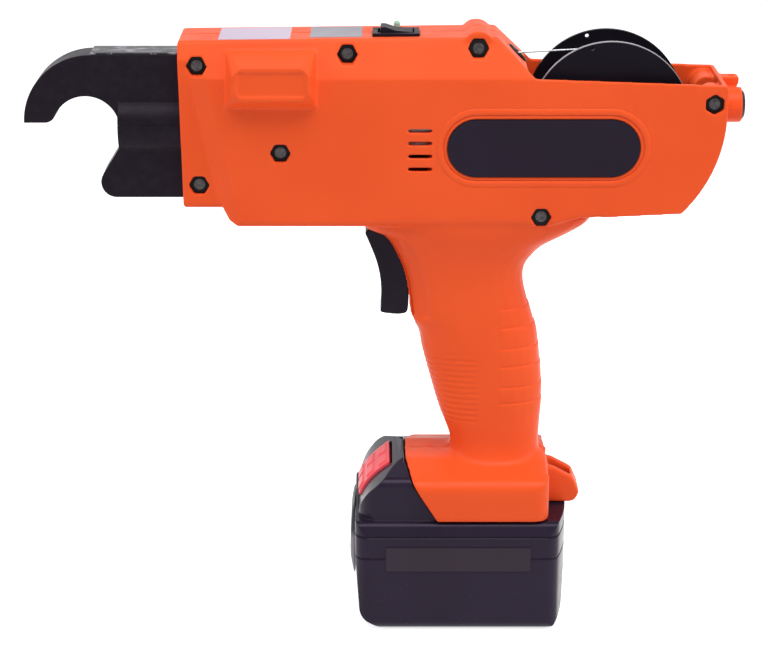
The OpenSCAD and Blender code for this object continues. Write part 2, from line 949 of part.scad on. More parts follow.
module strap_loop() {
  difference() {
    side(loop_w)
      offset(r = loop_round)
        offset(delta = -loop_round)
          polygon([[foot_rear - loop_root, foot_top - foot_drop],
                   [foot_rear + loop_top, foot_top - foot_drop - loop_top * loop_shares[0]],
                   [foot_rear + loop_l * loop_shares[1], foot_top - foot_h * loop_shares[2]],
                   [foot_rear + loop_l, foot_z + foot_h * loop_shares[3]],
                   [foot_rear + loop_l * loop_shares[4], foot_z],
                   [foot_rear - loop_root, foot_z]]);
    box([foot_rear + over, loop_ear - loop_w / 2, 0],
        [foot_rear + loop_l - loop_bar, loop_w / 2 - loop_ear, far]);
    box([-far, -far, 0], [foot_rear - over, far, far]);
  }
}

module block_face(deep) {
  l = block_face_l;
  h = block_face_h;
  c = block_cut;
  translate([block_x + block_face_in, -half_w - block_out, block_z + block_face_low])
    rotate([-90, 0, 0])
      linear_extrude(height = deep)
        polygon([[c, 0], [l - c, 0], [l, -c], [l, c - h], [l - c, -h], [c, -h], [0, c - h],
                 [0, -c]]);
}

module block_panel() {
  translate([block_x + block_face_in + block_face_l / 2, -half_w - block_out - over,
             block_z + block_face_low + block_face_h / 2])
    rotate([-90, 0, 0])
      linear_extrude(height = over + panel_deep)
        offset(delta = block_cut / 2, chamfer = true)
          square([block_face_l - 2 * panel_rim - block_cut,
                  block_face_h - 2 * panel_rim - block_cut], center = true);
}

module block_form() {
  hull() {
    block_face(over);
    box([block_x, -half_w, block_z], [block_x + block_l, over - half_w, block_z + block_side_h]);
    box([block_x, -top_half - over, block_z + block_side_h],
        [block_x + block_l, -top_half, block_z + block_top_h]);
  }
}

module pill(l, h) {
  translate([h / 2 - l / 2, 0])
    circle(r = h / 2);
  translate([l / 2 - h / 2, 0])
    circle(r = h / 2);
  square([l - h, h], center = true);
}

module bosses() {
  for (b = bolts)
    for (s = [-1, 1])
      rod_y(b[0], b[1], s < 0 ? -half_w : b[3], s < 0 ? -b[3] : half_w, boss_r);
  rod_y(lever_x, lever_z, -half_w, -slip - lever_y - lever_t, lever_boss_r);
  for (s = [-1, 1])
    box([reel_x - pad_l / 2, s < 0 ? -half_w : pad_face, reel_z - pad_low],
        [reel_x + pad_l / 2, s < 0 ? -pad_face : half_w, rail_z - rail_fall]);
}

module ribs() {
  for (x = [ring_x + ring_l / 2 - rib_t / 2, motor_x + motor_l * rib_shares[0],
             motor_x + motor_l * rib_shares[1]])
    box([x, -half_w, body_z], [x + rib_t, half_w, far]);
  box([bearing_x + over, -half_w, body_z], [bearing_x + bearing_l - over, half_w, far]);
  for (z = [feed_motor_z + rib_t, feed_plate_z - 2 * rib_t])
    box([feed_x - feed_motor_r / 2, -half_w, z], [bay_x, half_w, z + rib_t]);
  rod_x(rear_x - wall - over, brake_boss_l, brake_boss_r);
}

module rib_holes() {
  translate([0, 0, tw_z]) {
    rod_x(ring_x - gap, ring_l + gap, ring_out + slip);
    rod_x(motor_x - over, motor_l + 2 * over, motor_r + slip);
    rod_x(bearing_x - over, bearing_l + 2 * over, bearing_r + fit);
  }
  translate([feed_x, roller_y, feed_motor_z - over])
    cylinder(h = feed_motor_h + 2 * over, r = feed_motor_r + slip);
  box([feed_x - feed_plate_l / 2 - slip, -feed_plate_w / 2 - slip, feed_plate_z - slip],
      [feed_x + feed_plate_l / 2 + slip, feed_plate_w / 2 + slip,
       feed_wire_z + roller_h / 2 + part_gap]);
  box([board_x - slip, -board_w / 2 - slip, board_z - slip],
      [board_x + board_l + slip, board_w / 2 + slip, board_z + board_t + slip]);
  box([board_x, -board_w / 2 + over, board_z - slip],
      [board_x + board_l, board_w / 2 - over, board_z + cap_part_h + board_t]);
  on_wire(tube_from - part_gap)
    cylinder(h = tube_end - tube_from + 2 * part_gap, r = guide_r + slip);
}

module pockets() {
  for (b = bolts) {
    rod_y(b[0], b[1], -far, far, bolt_r + bolt_fit);
    translate([b[0], -b[2], b[1]])
      rotate([90, b[4], 0])
        cylinder(h = far, r = nut_r + slip, $fn = 6);
    rod_y(b[0], b[1], b[2], far, head_r + slip);
  }
}

module trigger_slot() {
  box([pull_x - slot_front, -trigger_w / 2 - gap, pull_z - slot_low],
      [pull_x + slot_back, trigger_w / 2 + gap, pull_z + slot_up]);
}

module grip_fittings() {
  for (s = [-1, 1]) {
    rod_y(pull_x, pull_z, s < 0 ? -pull_boss_y : trigger_w / 2 + gap,
          s < 0 ? -trigger_w / 2 - gap : pull_boss_y, pull_boss_r);
    box([micro_x, s < 0 ? -micro_pad_y : micro_w / 2 + slip,
         micro_z + (micro_h - micro_pad_h) / 2],
        [micro_x + micro_l, s < 0 ? -micro_w / 2 - slip : micro_pad_y,
         micro_z + (micro_h + micro_pad_h) / 2]);
  }
  box([spring_seat_x, -spring_seat_y, pull_spring_z - spring_seat_h / 2],
      [spring_seat_x + rib_t, spring_seat_y, pull_spring_z + spring_seat_h / 2]);
}

module strap_lug() {
  box([rear_x - over, lug_y, lug_z], [rear_x + lug_l, lug_y + lug_w, lug_z + lug_t]);
  translate([0, lug_y + lug_web / 2, 0])
    side(lug_web)
      polygon([[rear_x - over, lug_z + over], [rear_x + lug_l, lug_z + over],
               [rear_x + lug_l, lug_z], [rear_x + lug_l / 2, brake_z], [rear_x - over, brake_z]]);
}

module shell(left) {
  difference() {
    union() {
      difference() {
        keep_side(left)
          union() {
            body_form();
            grip_form(0, far);
            foot_form();
            strap_loop();
            translate([0, 0, brake_z])
              rod_x(rear_x - wall, wall + brake_boss_l, brake_boss_r);
            rod_y(slope_bolt_x, slope_bolt_z, -top_half, top_half, slope_boss_r);
            if (left)
              block_form();
            else
              strap_lug();
          }
        body_room();
        bay_room();
        difference() {
          grip_room();
          box([-far, -far, 0], [far, far, foot_top - wall]);
        }
        trigger_slot();
        rail_room(0);
      }
      keep_side(left)
        intersection() {
          body_form();
          union() {
            bosses();
            difference() {
              ribs();
              bay_room();
            }
          }
        }
      keep_side(left)
        grip_fittings();
    }
    pockets();
    rib_holes();
    shell_cuts(left);
  }
}

module shell_cuts(left) {
  // nose opening
  box([front_x - front_lean - over, -lower_w / 2 - nose_hole, jaw_low - nose_hole],
      [root_x, lower_w / 2 + nose_hole, arm_top + nose_hole]);
  translate([0, 0, tw_z])
    rod_x(tube_x, root_x - tube_x, tube_r + nose_hole);
  // vents
  for (i = [0:vent_n - 1])
    translate([vent_x + vent_l / 2, 0, vent_z + vent_pitch * i])
      side(far)
        pill(vent_l, vent_t);
  // seat of the name plate
  if (left)
    translate([plate_x, plate_seat - half_w - far / 2, plate_z])
      side(far)
        pill(plate_l + 2 * plate_rim, plate_h + 2 * plate_rim);
  if (left)
    translate([plate_x, plate_step - half_w - far / 2, plate_z])
      side(far)
        pill(plate_l + 2 * plate_outer, plate_h + 2 * plate_outer);
  // panel on the side block
  if (left)
    block_panel();
  // room inside the side block
  if (left)
    box([lever_x + lever_boss_r, block_hollow - half_w - block_out,
         block_z + block_face_low + block_hollow],
        [block_x + block_face_in + block_face_l - block_hollow, wall + over - half_w,
         block_z + block_side_h - block_hollow / 2 + block_hollow]);
  // cutter pin, inlet, lamp and switch
  rod_y(lever_x, lever_z, -lever_y - lever_t - lever_pin_l + lever_t, 0, lever_pin_r + fit);
  on_wire(inlet_from - over)
    cylinder(h = inlet_end - inlet_from + 2 * over, r = inlet_r + fit);
  translate([lamp_x, lamp_y, top_z - lamp_deep - wall])
    cylinder(h = far, r = lamp_r + fit);
  box([switch_x - bezel_l / 2 - slip, switch_y - bezel_w / 2 - slip, switch_z],
      [switch_x + bezel_l / 2 + slip, switch_y + bezel_w / 2 + slip, far]);
  box([switch_x - bezel_l / 2 + bezel_lip - fit, switch_y - bezel_w / 2 + bezel_lip - fit,
       switch_z - switch_depth - slip],
      [switch_x + bezel_l / 2 - bezel_lip + fit, switch_y + bezel_w / 2 - bezel_lip + fit, far]);
  // axle slots, brake bore, trigger pin, lug hole
  rod_y(reel_x, reel_z, -axle_end - fit, axle_end + fit, axle_r + fit);
  box([reel_x - axle_r - fit, -axle_end - fit, reel_z],
      [reel_x + axle_r + fit, axle_end + fit, far]);
  translate([0, 0, brake_z]) {
    rod_x(bay_x + reel_r, far, brake_hole_r);
    rod_x(rear_x + brake_boss_l - brake_bore_l, far, brake_bore_r + fit);
  }
  box([shoe_x - part_gap, -shoe_w / 2 - gap, brake_z - shoe_h / 2 - gap],
      [shoe_x + shoe_t + shoe_travel + gap, shoe_w / 2 + gap, brake_z + shoe_h / 2 + gap]);
  rod_y(pull_x, pull_z, -pull_pin_l / 2 - fit, pull_pin_l / 2 + fit, pull_pin_r + fit);
  translate([rear_x + lug_l - lug_hole_r * 2, lug_y + lug_w / 2, lug_z - over])
    cylinder(h = lug_t + 2 * over, r = lug_hole_r);
}

module left_housing() {
  color([0.92, 0.33, 0.06])
    shell(true);
}

module right_housing() {
  color([0.92, 0.33, 0.06])
    shell(false);
}

module housing_bolts() {
  color([0.55, 0.55, 0.57])
    for (b = bolts) {
      rod_y(b[0], b[1], -b[2] - nut_t, b[2] + over, bolt_r);
      rod_y(b[0], b[1], b[2], b[2] + head_t, head_r);
    }
}

module housing_nuts() {
  color([0.6, 0.6, 0.62])
    for (b = bolts)
      difference() {
        translate([b[0], -b[2], b[1]])
          rotate([90, b[4], 0])
            cylinder(h = nut_t, r = nut_r, $fn = 6);
        rod_y(b[0], b[1], -far, far, bolt_r + fit);
      }
}

module name_plate() {
  color([0.06, 0.06, 0.07])
    translate([plate_x, plate_seat - half_w - plate_t / 2, plate_z])
      side(plate_t)
        pill(plate_l, plate_h);
}

// Nose

module twist_bore() {
  translate([0, 0, tw_z])
    rod_x(tube_x - over, root_end + 2 * over - tube_x, bore_r);
}

module nose_tube() {
  rod_x(tube_x, nose_end - tube_x, tube_r);
  rod_x(tube_x, root_end - tube_x, root_half - over);
}

module upper_outline() {
  difference() {
    union() {
      intersection() {
        translate([hook_x, hook_z])
          circle(r = hook_r);
        translate([hook_x - far, split_z])
          square([far + over, far]);
      }
      translate([hook_x, split_z])
        square([nose_end - hook_x, arm_top - split_z]);
    }
    translate([seat_x, seat_z])
      circle(r = seat_r);
    difference() {
      polygon([[tip_x, split_z - over], [tip_x, tip_z], [seat_x, seat_z]]);
      translate([tip_x, tip_z])
        circle(r = tip_r);
    }
  }
}

module upper_jaw() {
  color([0.09, 0.09, 0.1])
    difference() {
      union() {
        side(jaw_w)
          upper_outline();
        intersection() {
          translate([0, 0, tw_z])
            nose_tube();
          box([tube_x - over, -far, split_z], [root_end, far, far]);
        }
        box([root_x, -root_half, split_z], [root_end, root_half, arm_top + root_up]);
      }
      twist_bore();
      rod_y(nose_bolt_x, nose_bolt_up, -far, far, bolt_r + bolt_fit);
      translate([seat_x, 0, seat_z])
        rotate([90, 0, 0])
          cylinder(h = guide_w, r = seat_r + guide_d, center = true);
      on_wire(strand_end - over)
        cylinder(h = guide_hole_l, r = guide_bore);
    }
}

module lower_outline() {
  hull() {
    translate([lip_x + lip_r, jaw_low + lip_r])
      circle(r = lip_r);
    translate([tube_x, jaw_low])
      square([nose_end - tube_x, throat_z - jaw_low]);
  }
  translate([tube_x, throat_z - over])
    square([nose_end - tube_x, split_z + over - throat_z]);
}

module lower_jaw() {
  color([0.09, 0.09, 0.1])
    difference() {
      union() {
        side(lower_w)
          lower_outline();
        intersection() {
          translate([0, 0, tw_z])
            nose_tube();
          box([tube_x - over, -far, 0], [root_end, far, split_z]);
        }
        box([root_x, -root_half, root_low], [root_end, root_half, split_z]);
      }
      twist_bore();
      rod_y(nose_bolt_x, nose_bolt_low, -far, far, bolt_r + bolt_fit);
    }
}

module jaw_cover() {
  color([0.12, 0.12, 0.13])
    box([hook_x, -cover_w / 2, arm_top],
        [front_x - front_lean - part_gap, cover_w / 2, arm_top + cover_t]);
}

// Twist drive

module twist_motor() {
  color([0.5, 0.5, 0.53])
    translate([0, 0, tw_z])
      difference() {
        rod_x(motor_x, motor_l, motor_r);
        rod_x(motor_x - over, motor_shaft_in + over, motor_shaft_r + fit);
      }
}

module gear_body(n, low, high, thin, x, l) {
  front(x, l)
    polygon(gear(n, low, high, thin));
}

module motor_pinion() {
  color([0.72, 0.66, 0.45])
    translate([0, 0, tw_z])
      union() {
        gear_body(sun_n, sun_r - tooth_down, sun_r + tooth_up, backlash,
                  motor_x - planet_back - sun_l, sun_l);
        rod_x(motor_x - planet_back - over, planet_back + over + motor_shaft_in - over,
              motor_shaft_r);
      }
}

module ring_gear() {
  color([0.45, 0.45, 0.48])
    translate([0, 0, tw_z])
      difference() {
        rod_x(ring_x, ring_l - slip, ring_out);
        rotate([180 / ring_n, 0, 0])
          gear_body(ring_n, ring_r - tooth_up, ring_r + tooth_down, -backlash,
                    ring_x - over, ring_l + 2 * over);
      }
}

module planet(turn) {
  color([0.72, 0.66, 0.45])
    translate([0, carrier_r * cos(turn), tw_z + carrier_r * sin(turn)])
      difference() {
        rotate([turn + 180 / planet_n, 0, 0])
          gear_body(planet_n, planet_r - tooth_down, planet_r + tooth_up, backlash,
                    motor_x - planet_back - planet_l, planet_l);
        rod_x(ring_x, ring_l, planet_pin_r + fit);
      }
}

module planet_gear_1() {
  planet(0);
}

module planet_gear_2() {
  planet(120);
}

module planet_gear_3() {
  planet(240);
}

module twist_spindle() {
  color([0.62, 0.62, 0.64])
    difference() {
      union() {
        translate([0, 0, tw_z]) {
          rod_x(claw_pivot_x - clevis_front, carrier_x - claw_pivot_x + clevis_front + over,
                shaft_r);
          rod_x(carrier_x, carrier_t, carrier_disc_r);
        }
        for (turn = [0, 120, 240])
          translate([0, carrier_r * cos(turn), tw_z + carrier_r * sin(turn)])
            rod_x(carrier_x + over, ring_l - planet_back + carrier_t - over, planet_pin_r);
      }
      box([claw_pivot_x - clevis_front - over, -far, tw_z - claw_t / 2 - slip],
          [claw_pivot_x - clevis_front + clevis_l, far, tw_z + claw_t / 2 + slip]);
      for (s = [-1, 1])
        translate([claw_pivot_x, s * claw_pivot_y, tw_z - claw_pin_h / 2])
          cylinder(h = claw_pin_h, r = claw_pin_r);
    }
}

module spindle_bearing() {
  color([0.7, 0.7, 0.72])
    translate([0, 0, tw_z])
      difference() {
        rod_x(bearing_x, bearing_l, bearing_r);
        rod_x(bearing_x - over, bearing_l + 2 * over, shaft_r + fit);
      }
}

module twist_sleeve() {
  color([0.55, 0.55, 0.57])
    translate([0, 0, tw_z])
      difference() {
        union() {
          rod_x(sleeve_x, sleeve_l, sleeve_front_r);
          rod_x(sleeve_x + sleeve_front_l, sleeve_l - sleeve_front_l, sleeve_r);
        }
        rod_x(sleeve_x - over, sleeve_l + 2 * over, shaft_r + fit);
        difference() {
          rod_x(groove_x - groove_w / 2, groove_w, sleeve_r + over);
          rod_x(groove_x - groove_w, 2 * groove_w, groove_r);
        }
      }
}

module claw(s) {
  color([0.5, 0.5, 0.52])
    translate([claw_pivot_x, s * claw_pivot_y, tw_z - claw_t / 2])
      rotate([0, 0, -s * claw_open_angle])
        difference() {
          linear_extrude(height = claw_t)
            union() {
              circle(r = claw_out - claw_pivot_y);
              polygon([[0, s * (claw_out - claw_pivot_y)],
                       [-claw_l, s * (claw_out - claw_pivot_y)],
                       [-claw_l, s * (claw_in - claw_pivot_y)],
                       [claw_hook - claw_l, s * (claw_in - claw_pivot_y)],
                       [claw_hook - claw_l, 0],
                       [0, s * (claw_root_in - claw_pivot_y)]]);
            }
          translate([0, 0, -over])
            cylinder(h = claw_t + 2 * over, r = claw_pin_r + fit);
        }
}

module claw_left() {
  claw(-1);
}

module claw_right() {
  claw(1);
}

module claw_pins() {
  color([0.7, 0.7, 0.72])
    for (s = [-1, 1])
      translate([claw_pivot_x, s * claw_pivot_y, tw_z - claw_pin_h / 2])
        cylinder(h = claw_pin_h, r = claw_pin_r);
}

// Cutter

module cutter_lever() {
  color([0.42, 0.42, 0.45])
    difference() {
      union() {
        translate([0, -lever_y - lever_t / 2, 0])
          side(lever_t) {
            hull() {
              translate([lever_x, lever_z])
                circle(r = lever_r);
              translate([lever_x, tw_z])
                circle(r = lever_tip_r);
            }
            hull() {
              translate([lever_x, lever_z])
                circle(r = lever_r);
              translate([lever_x - blade_fore, lever_z - blade_low])
                circle(r = lever_tip_r);
            }
          }
        rod_y(lever_x, tw_z, -lever_y - over, -finger_y, finger_r);
      }
      rod_y(lever_x, lever_z, -far, 0, lever_pin_r + fit);
    }
}

module cutter_blade() {
  color([0.75, 0.75, 0.77])
    box([lever_x - blade_fore - blade_w / 2, -lever_y, lever_z - blade_low - blade_h / 2],
        [lever_x - blade_fore + blade_w / 2, blade_over, lever_z - blade_low + blade_h / 2]);
}

module cutter_pin() {
  color([0.7, 0.7, 0.72])
    rod_y(lever_x, lever_z, -lever_y - lever_pin_l, slip - lever_y, lever_pin_r);
}

// Wire path and feed

module wire_inlet() {
  color([0.05, 0.05, 0.06])
    difference() {
      intersection() {
        on_wire(inlet_from)
          cylinder(h = inlet_end - inlet_from, r = inlet_r);
        side(4 * inlet_r)
          offset(delta = inlet_proud)
            body_outline();
      }
      on_wire(inlet_from - over)
        cylinder(h = inlet_end - inlet_from + 2 * over, r = inlet_bore);
      on_wire(inlet_from - over)
        cylinder(h = bend_from - flare_l - inlet_from + over + slip, r = flare_r);
      on_wire(bend_from - flare_l)
        cylinder(h = flare_l, r1 = flare_r, r2 = inlet_bore);
    }
}

module guide_tube() {
  color([0.66, 0.66, 0.68])
    on_wire(tube_from)
      difference() {
        cylinder(h = tube_end - tube_from, r = guide_r);
        translate([0, 0, -over])
          cylinder(h = tube_end - tube_from + 2 * over, r = guide_bore);
      }
}

module wire_strand() {
  color([0.6, 0.6, 0.6])
    union() {
      on_wire(bend_from)
        cylinder(h = strand_end - bend_from, r = wire_d / 2);
      translate(wire_at(bend_from))
        sphere(r = bend_share * wire_d / 2);
      between(wire_at(bend_from), [reel_x - strand_start, wind_start, reel_z + wind_r], wire_d / 2);
    }
}

module feed_motor() {
  color([0.5, 0.5, 0.53])
    translate([feed_x, roller_y, feed_motor_z])
      difference() {
        cylinder(h = feed_motor_h, r = feed_motor_r);
        translate([0, 0, feed_motor_h - feed_shaft_in])
          cylinder(h = feed_shaft_in + over, r = feed_shaft_r + fit);
      }
}

module feed_plate() {
  color([0.62, 0.62, 0.64])
    difference() {
      box([feed_x - feed_plate_l / 2, -feed_plate_w / 2, feed_plate_z],
          [feed_x + feed_plate_l / 2, feed_plate_w / 2, feed_plate_z + feed_plate_t]);
      translate([feed_x, roller_y, feed_plate_z - over])
        cylinder(h = feed_plate_t + 2 * over, r = feed_shaft_r + gap);
      translate([idler_pivot_x, -idler_pivot_y, feed_plate_z - over])
        cylinder(h = feed_plate_t + 2 * over, r = idler_pin_r);
    }
}

module feed_roller() {
  color([0.72, 0.66, 0.45])
    union() {
      translate([feed_x, roller_y, feed_wire_z - roller_h / 2])
        cylinder(h = roller_h, r = roller_r);
      translate([feed_x, roller_y, feed_plate_z - feed_shaft_in + slip])
        cylinder(h = feed_wire_z - feed_plate_z + feed_shaft_in, r = feed_shaft_r);
    }
}

module idler_roller() {
  color([0.6, 0.6, 0.62])
    translate([feed_x, -roller_y, feed_wire_z - roller_h / 2])
      difference() {
        cylinder(h = roller_h, r = roller_r);
        translate([0, 0, -over])
          cylinder(h = roller_h + 2 * over, r = idler_stub_r + fit);
      }
}

module idler_lever() {
  color([0.42, 0.42, 0.45])
    difference() {
      union() {
        translate([0, 0, idler_arm_z])
          linear_extrude(height = idler_arm_t)
            hull() {
              translate([idler_pivot_x, -idler_pivot_y])
                circle(r = idler_arm_r);
              translate([feed_x, -roller_y])
                circle(r = idler_arm_r);
            }
        translate([feed_x, -roller_y, idler_arm_z])
          cylinder(h = feed_wire_z + roller_h / 2 - idler_arm_z, r = idler_stub_r);
        translate([feed_x, -roller_y, idler_arm_z])
          cylinder(h = feed_wire_z - roller_h / 2 - slip - idler_arm_z, r = idler_hub_r);
      }
      translate([idler_pivot_x, -idler_pivot_y, idler_arm_z - over])
        cylinder(h = idler_arm_t + 2 * over, r = idler_pin_r + fit);
    }
}

module idler_pin() {
  color([0.7, 0.7, 0.72])
    translate([idler_pivot_x, -idler_pivot_y, feed_plate_z])
      cylinder(h = feed_plate_t + idler_arm_t + over, r = idler_pin_r);
}

// Reel

module wire_reel() {
  color([0.07, 0.07, 0.08])
    translate([reel_x, 0, reel_z])
      difference() {
        union() {
          for (s = [-1, 1])
            translate([0, s * (reel_w - flange_t) / 2, 0])
              side(flange_t)
                circle(r = reel_r);
          side(reel_w - flange_t)
            circle(r = hub_r);
        }
        side(far)
          circle(r = axle_r + fit);
        side(far)
          rotate(90 + flange_hole_turn)
            translate([flange_hole_up, 0])
              circle(r = flange_hole_r);
      }
}

module reel_wire() {
  color([0.55, 0.55, 0.56])
    translate([reel_x, 0, reel_z]) {
      difference() {
        side(reel_w - 2 * flange_t - 2 * core_side)
          circle(r = wind_r - core_in);
        side(far)
          circle(r = hub_r + fit);
      }
      skin([for (p = wind_path) loop_ring(p[0], p[1], p[2], wire_d / 2)]);
    }
}

module reel_axle() {
  color([0.65, 0.65, 0.67])
    rod_y(reel_x, reel_z, -axle_end, axle_end, axle_r);
}

module brake_shoe() {
  color([0.2, 0.2, 0.22])
    union() {
      box([shoe_x, -shoe_w / 2, brake_z - shoe_h / 2],
          [shoe_x + shoe_t, shoe_w / 2, brake_z + shoe_h / 2]);
      translate([0, 0, brake_z])
        rod_x(shoe_x + shoe_t - over, stem_l + over, stem_r);
    }
}

module brake_spring() {
  l = rear_x + brake_boss_l - brake_bore_l - shoe_x - shoe_t - 2 * fit;
  color([0.7, 0.7, 0.72])
    translate([shoe_x + shoe_t + fit, 0, brake_z])
      rotate([0, 90, 0])
        coil(stem_r + spring_d, spring_d / 2, l, 6);
}

module brake_cap() {
  color([0.06, 0.06, 0.07])
    translate([0, 0, brake_z])
      difference() {
        union() {
          rod_x(rear_x + brake_boss_l - brake_bore_l, brake_bore_l + over, brake_bore_r);
          translate([rear_x + brake_boss_l, 0, 0])
            rotate([0, 90, 0])
              cylinder(h = cap_t, r1 = cap_r, r2 = cap_top_r);
        }
        rod_x(0, rear_x + brake_boss_l, stem_r + slip);
      }
}

// Trigger group

module trigger() {
  color([0.06, 0.06, 0.07])
    difference() {
      side(trigger_w)
        offset(r = trigger_round)
          offset(delta = -trigger_round)
            union() {
              polygon([for (p = smooth(trigger_shares, 3))
                           [pull_x - p[0] * trigger_d, pull_z - p[1] * trigger_h]]);
              translate([pull_x, pull_z])
                circle(r = pull_hub_r);
            }
      rod_y(pull_x, pull_z, -far, far, pull_pin_r + fit);
    }
}

module trigger_pin() {
  color([0.7, 0.7, 0.72])
    rod_y(pull_x, pull_z, -pull_pin_l / 2, pull_pin_l / 2, pull_pin_r);
}

module trigger_spring() {
  color([0.7, 0.7, 0.72])
    translate([pull_spring_x + slip, 0, pull_spring_z])
      rotate([0, 90, 0])
        coil(pull_spring_r, spring_d / 2, spring_seat_x - pull_spring_x - 2 * slip, 5);
}

module trigger_switch() {
  color([0.1, 0.1, 0.12])
    union() {
      box([micro_x, -micro_w / 2, micro_z], [micro_x + micro_l, micro_w / 2, micro_z + micro_h]);
      translate([0, 0, micro_z + micro_h * micro_pin_share])
        rod_x(micro_x - micro_pin_l, micro_pin_l + over, micro_pin_r);
    }
}

module control_board() {
  color([0.08, 0.3, 0.16])
    union() {
      box([board_x, -board_w / 2, board_z], [board_x + board_l, board_w / 2, board_z + board_t]);
      box([board_x + chip_l, -chip_w / 2, board_z],
          [board_x + 2 * chip_l, chip_w / 2, board_z + board_t + chip_h]);
      translate([board_x + board_l * cap_part_share, chip_w, board_z])
        cylinder(h = board_t + cap_part_h - gap, r = cap_part_r);
    }
}

module power_switch() {
  color([0.05, 0.05, 0.06])
    difference() {
      union() {
        box([switch_x - bezel_l / 2, switch_y - bezel_w / 2, switch_z],
            [switch_x + bezel_l / 2, switch_y + bezel_w / 2, switch_z + bezel_t]);
        box([switch_x - bezel_l / 2 + bezel_lip, switch_y - bezel_w / 2 + bezel_lip,
             switch_z - switch_depth],
            [switch_x + bezel_l / 2 - bezel_lip, switch_y + bezel_w / 2 - bezel_lip,
             switch_z + over]);
      }
      box([switch_x - rocker_l / 2 - gap * 2, switch_y - rocker_w / 2 - slip,
           switch_z - rocker_low - over],
          [switch_x + rocker_l / 2 + gap * 2, switch_y + rocker_w / 2 + slip, far]);
      rocker_pins(slip);
    }
}

module rocker_pins(loose) {
  l = rocker_w / 2 + rocker_pin_l + loose;
  rod_y(switch_x, switch_z, switch_y - l, switch_y + l, rocker_pin_r + loose);
}

module power_rocker() {
  color([0.08, 0.08, 0.09])
    union() {
      translate([switch_x, switch_y, switch_z])
        side(rocker_w)
          polygon([[-rocker_l / 2, -rocker_low * rocker_shares[3]],
                   [-rocker_l * rocker_shares[0], rocker_rise],
                   [-rocker_l * rocker_shares[1], rocker_rise], [0, rocker_up],
                   [rocker_l / 2, rocker_up * rocker_shares[4]],
                   [rocker_l * rocker_shares[2], -rocker_low * rocker_shares[5]],
                   [0, -rocker_low]]);
      rocker_pins(0);
    }
}

module status_lamp() {
  color([0.75, 0.9, 0.7])
    translate([lamp_x, lamp_y, top_z - lamp_deep])
      union() {
        cylinder(h = lamp_deep + lamp_h, r = lamp_r);
        translate([0, 0, lamp_deep + lamp_h])
          intersection() {
            sphere(r = lamp_r);
            translate([0, 0, lamp_r])
              cube(2 * lamp_r, center = true);
          }
      }
}

// Battery

module terminal_block() {
  color([0.1, 0.1, 0.12])
    difference() {
      box([block_term_x, -block_term_w / 2, foot_z + rail_h - block_term_h],
          [rail_rear, block_term_w / 2, foot_z + rail_h]);
      blades(slip);
    }
}

module blades(loose) {
  for (i = [0:blade_n - 1])
    translate([block_term_x - blade_l + loose,
               (i - (blade_n - 1) / 2) * blade_pitch - blade_t / 2 - loose * fit,
               foot_z + rail_h - block_term_h / 2 - blade_tall / 2 - loose * fit])
      cube([2 * blade_l - loose + (loose > 0 ? over * fit : 0), blade_t + 2 * loose * fit,
            blade_tall + 2 * loose * fit]);
}

module terminal_blades() {
  color([0.75, 0.6, 0.3])
    blades(0);
}

module batt_side() {
  offset(r = base_round)
    offset(delta = -base_round)
      polygon([[-base_front, 0], [base_rear, 0], [batt_front - plan_bow * base_shares[0], base_round],
               [batt_front, seam_z], [batt_front, far], [-batt_front, far],
               [-batt_front, seam_z], [base_round * base_shares[1] - batt_front, base_round]]);
}

module batt_plan() {
  offset(r = plan_round)
    offset(delta = -plan_round)
      intersection() {
        square([batt_l, batt_w], center = true);
        translate([batt_front - (batt_w * batt_w / 4 + plan_bow * plan_bow) / (2 * plan_bow), 0])
          circle(r = (batt_w * batt_w / 4 + plan_bow * plan_bow) / (2 * plan_bow), $fn = 96);
      }
}

module batt_front_view() {
  h = batt_w / 2;
  intersection() {
    offset(r = side_round)
      offset(delta = -side_round)
        translate([-h, 0])
          square([batt_w, far]);
    offset(r = bevel_round)
      offset(delta = -bevel_round)
        polygon([[-h, -far], [h, -far], [h, batt_h - bevel_z], [h - bevel_y, batt_h],
                 [bevel_y - h, batt_h], [-h, batt_h - bevel_z]]);
  }
}

module batt_form(inset) {
  intersection() {
    side(batt_w)
      offset(delta = -inset)
        batt_side();
    linear_extrude(height = far)
      offset(delta = -inset)
        batt_plan();
    front(-far, 2 * far)
      offset(delta = -inset)
        batt_front_view();
  }
}

module case_line(z) {
  difference() {
    box([-far, -far, z], [far, far, z + line_w]);
    batt_form(line_deep);
  }
}

module battery_lower() {
  color([0.06, 0.06, 0.07])
    difference() {
      intersection() {
        batt_form(0);
        box([-far, -far, -over], [far, far, seam_z]);
      }
      batt_form(batt_wall);
      case_line(seam_z - line_w);
      for (x = [-screw_x, screw_x])
        for (y = [-screw_y, screw_y])
          translate([x, y, -over])
            cylinder(h = screw_deep + screw_head_t + over, r = screw_head_r + slip);
    }
}

module hump_outline() {
  polygon(concat([for (p = smooth(hump_shares, 3))
                      [-p[0] * (batt_front - hump_in), batt_h - over + p[1] * (hump_top - batt_h + over)]],
                 [[-foot_front - part_gap, hump_top]], foot_edge(part_gap),
                 [[foot_lean - foot_front - part_gap, batt_h - over]]));
}

module hump_form() {
  intersection() {
    side(2 * hump_half)
      hump_outline();
    front(-far, 2 * far)
      offset(r = hump_round)
        offset(delta = -hump_round)
          polygon([[-hump_half, 0], [hump_half, 0], [hump_half, hump_top - hump_drop],
                   [hump_flat, hump_top], [-hump_flat, hump_top],
                   [-hump_half, hump_top - hump_drop]]);
    linear_extrude(height = far)
      offset(r = hump_plan_r)
        offset(delta = -hump_plan_r)
          translate([hump_in - batt_front, -hump_half])
            square([batt_l, 2 * hump_half]);
  }
}

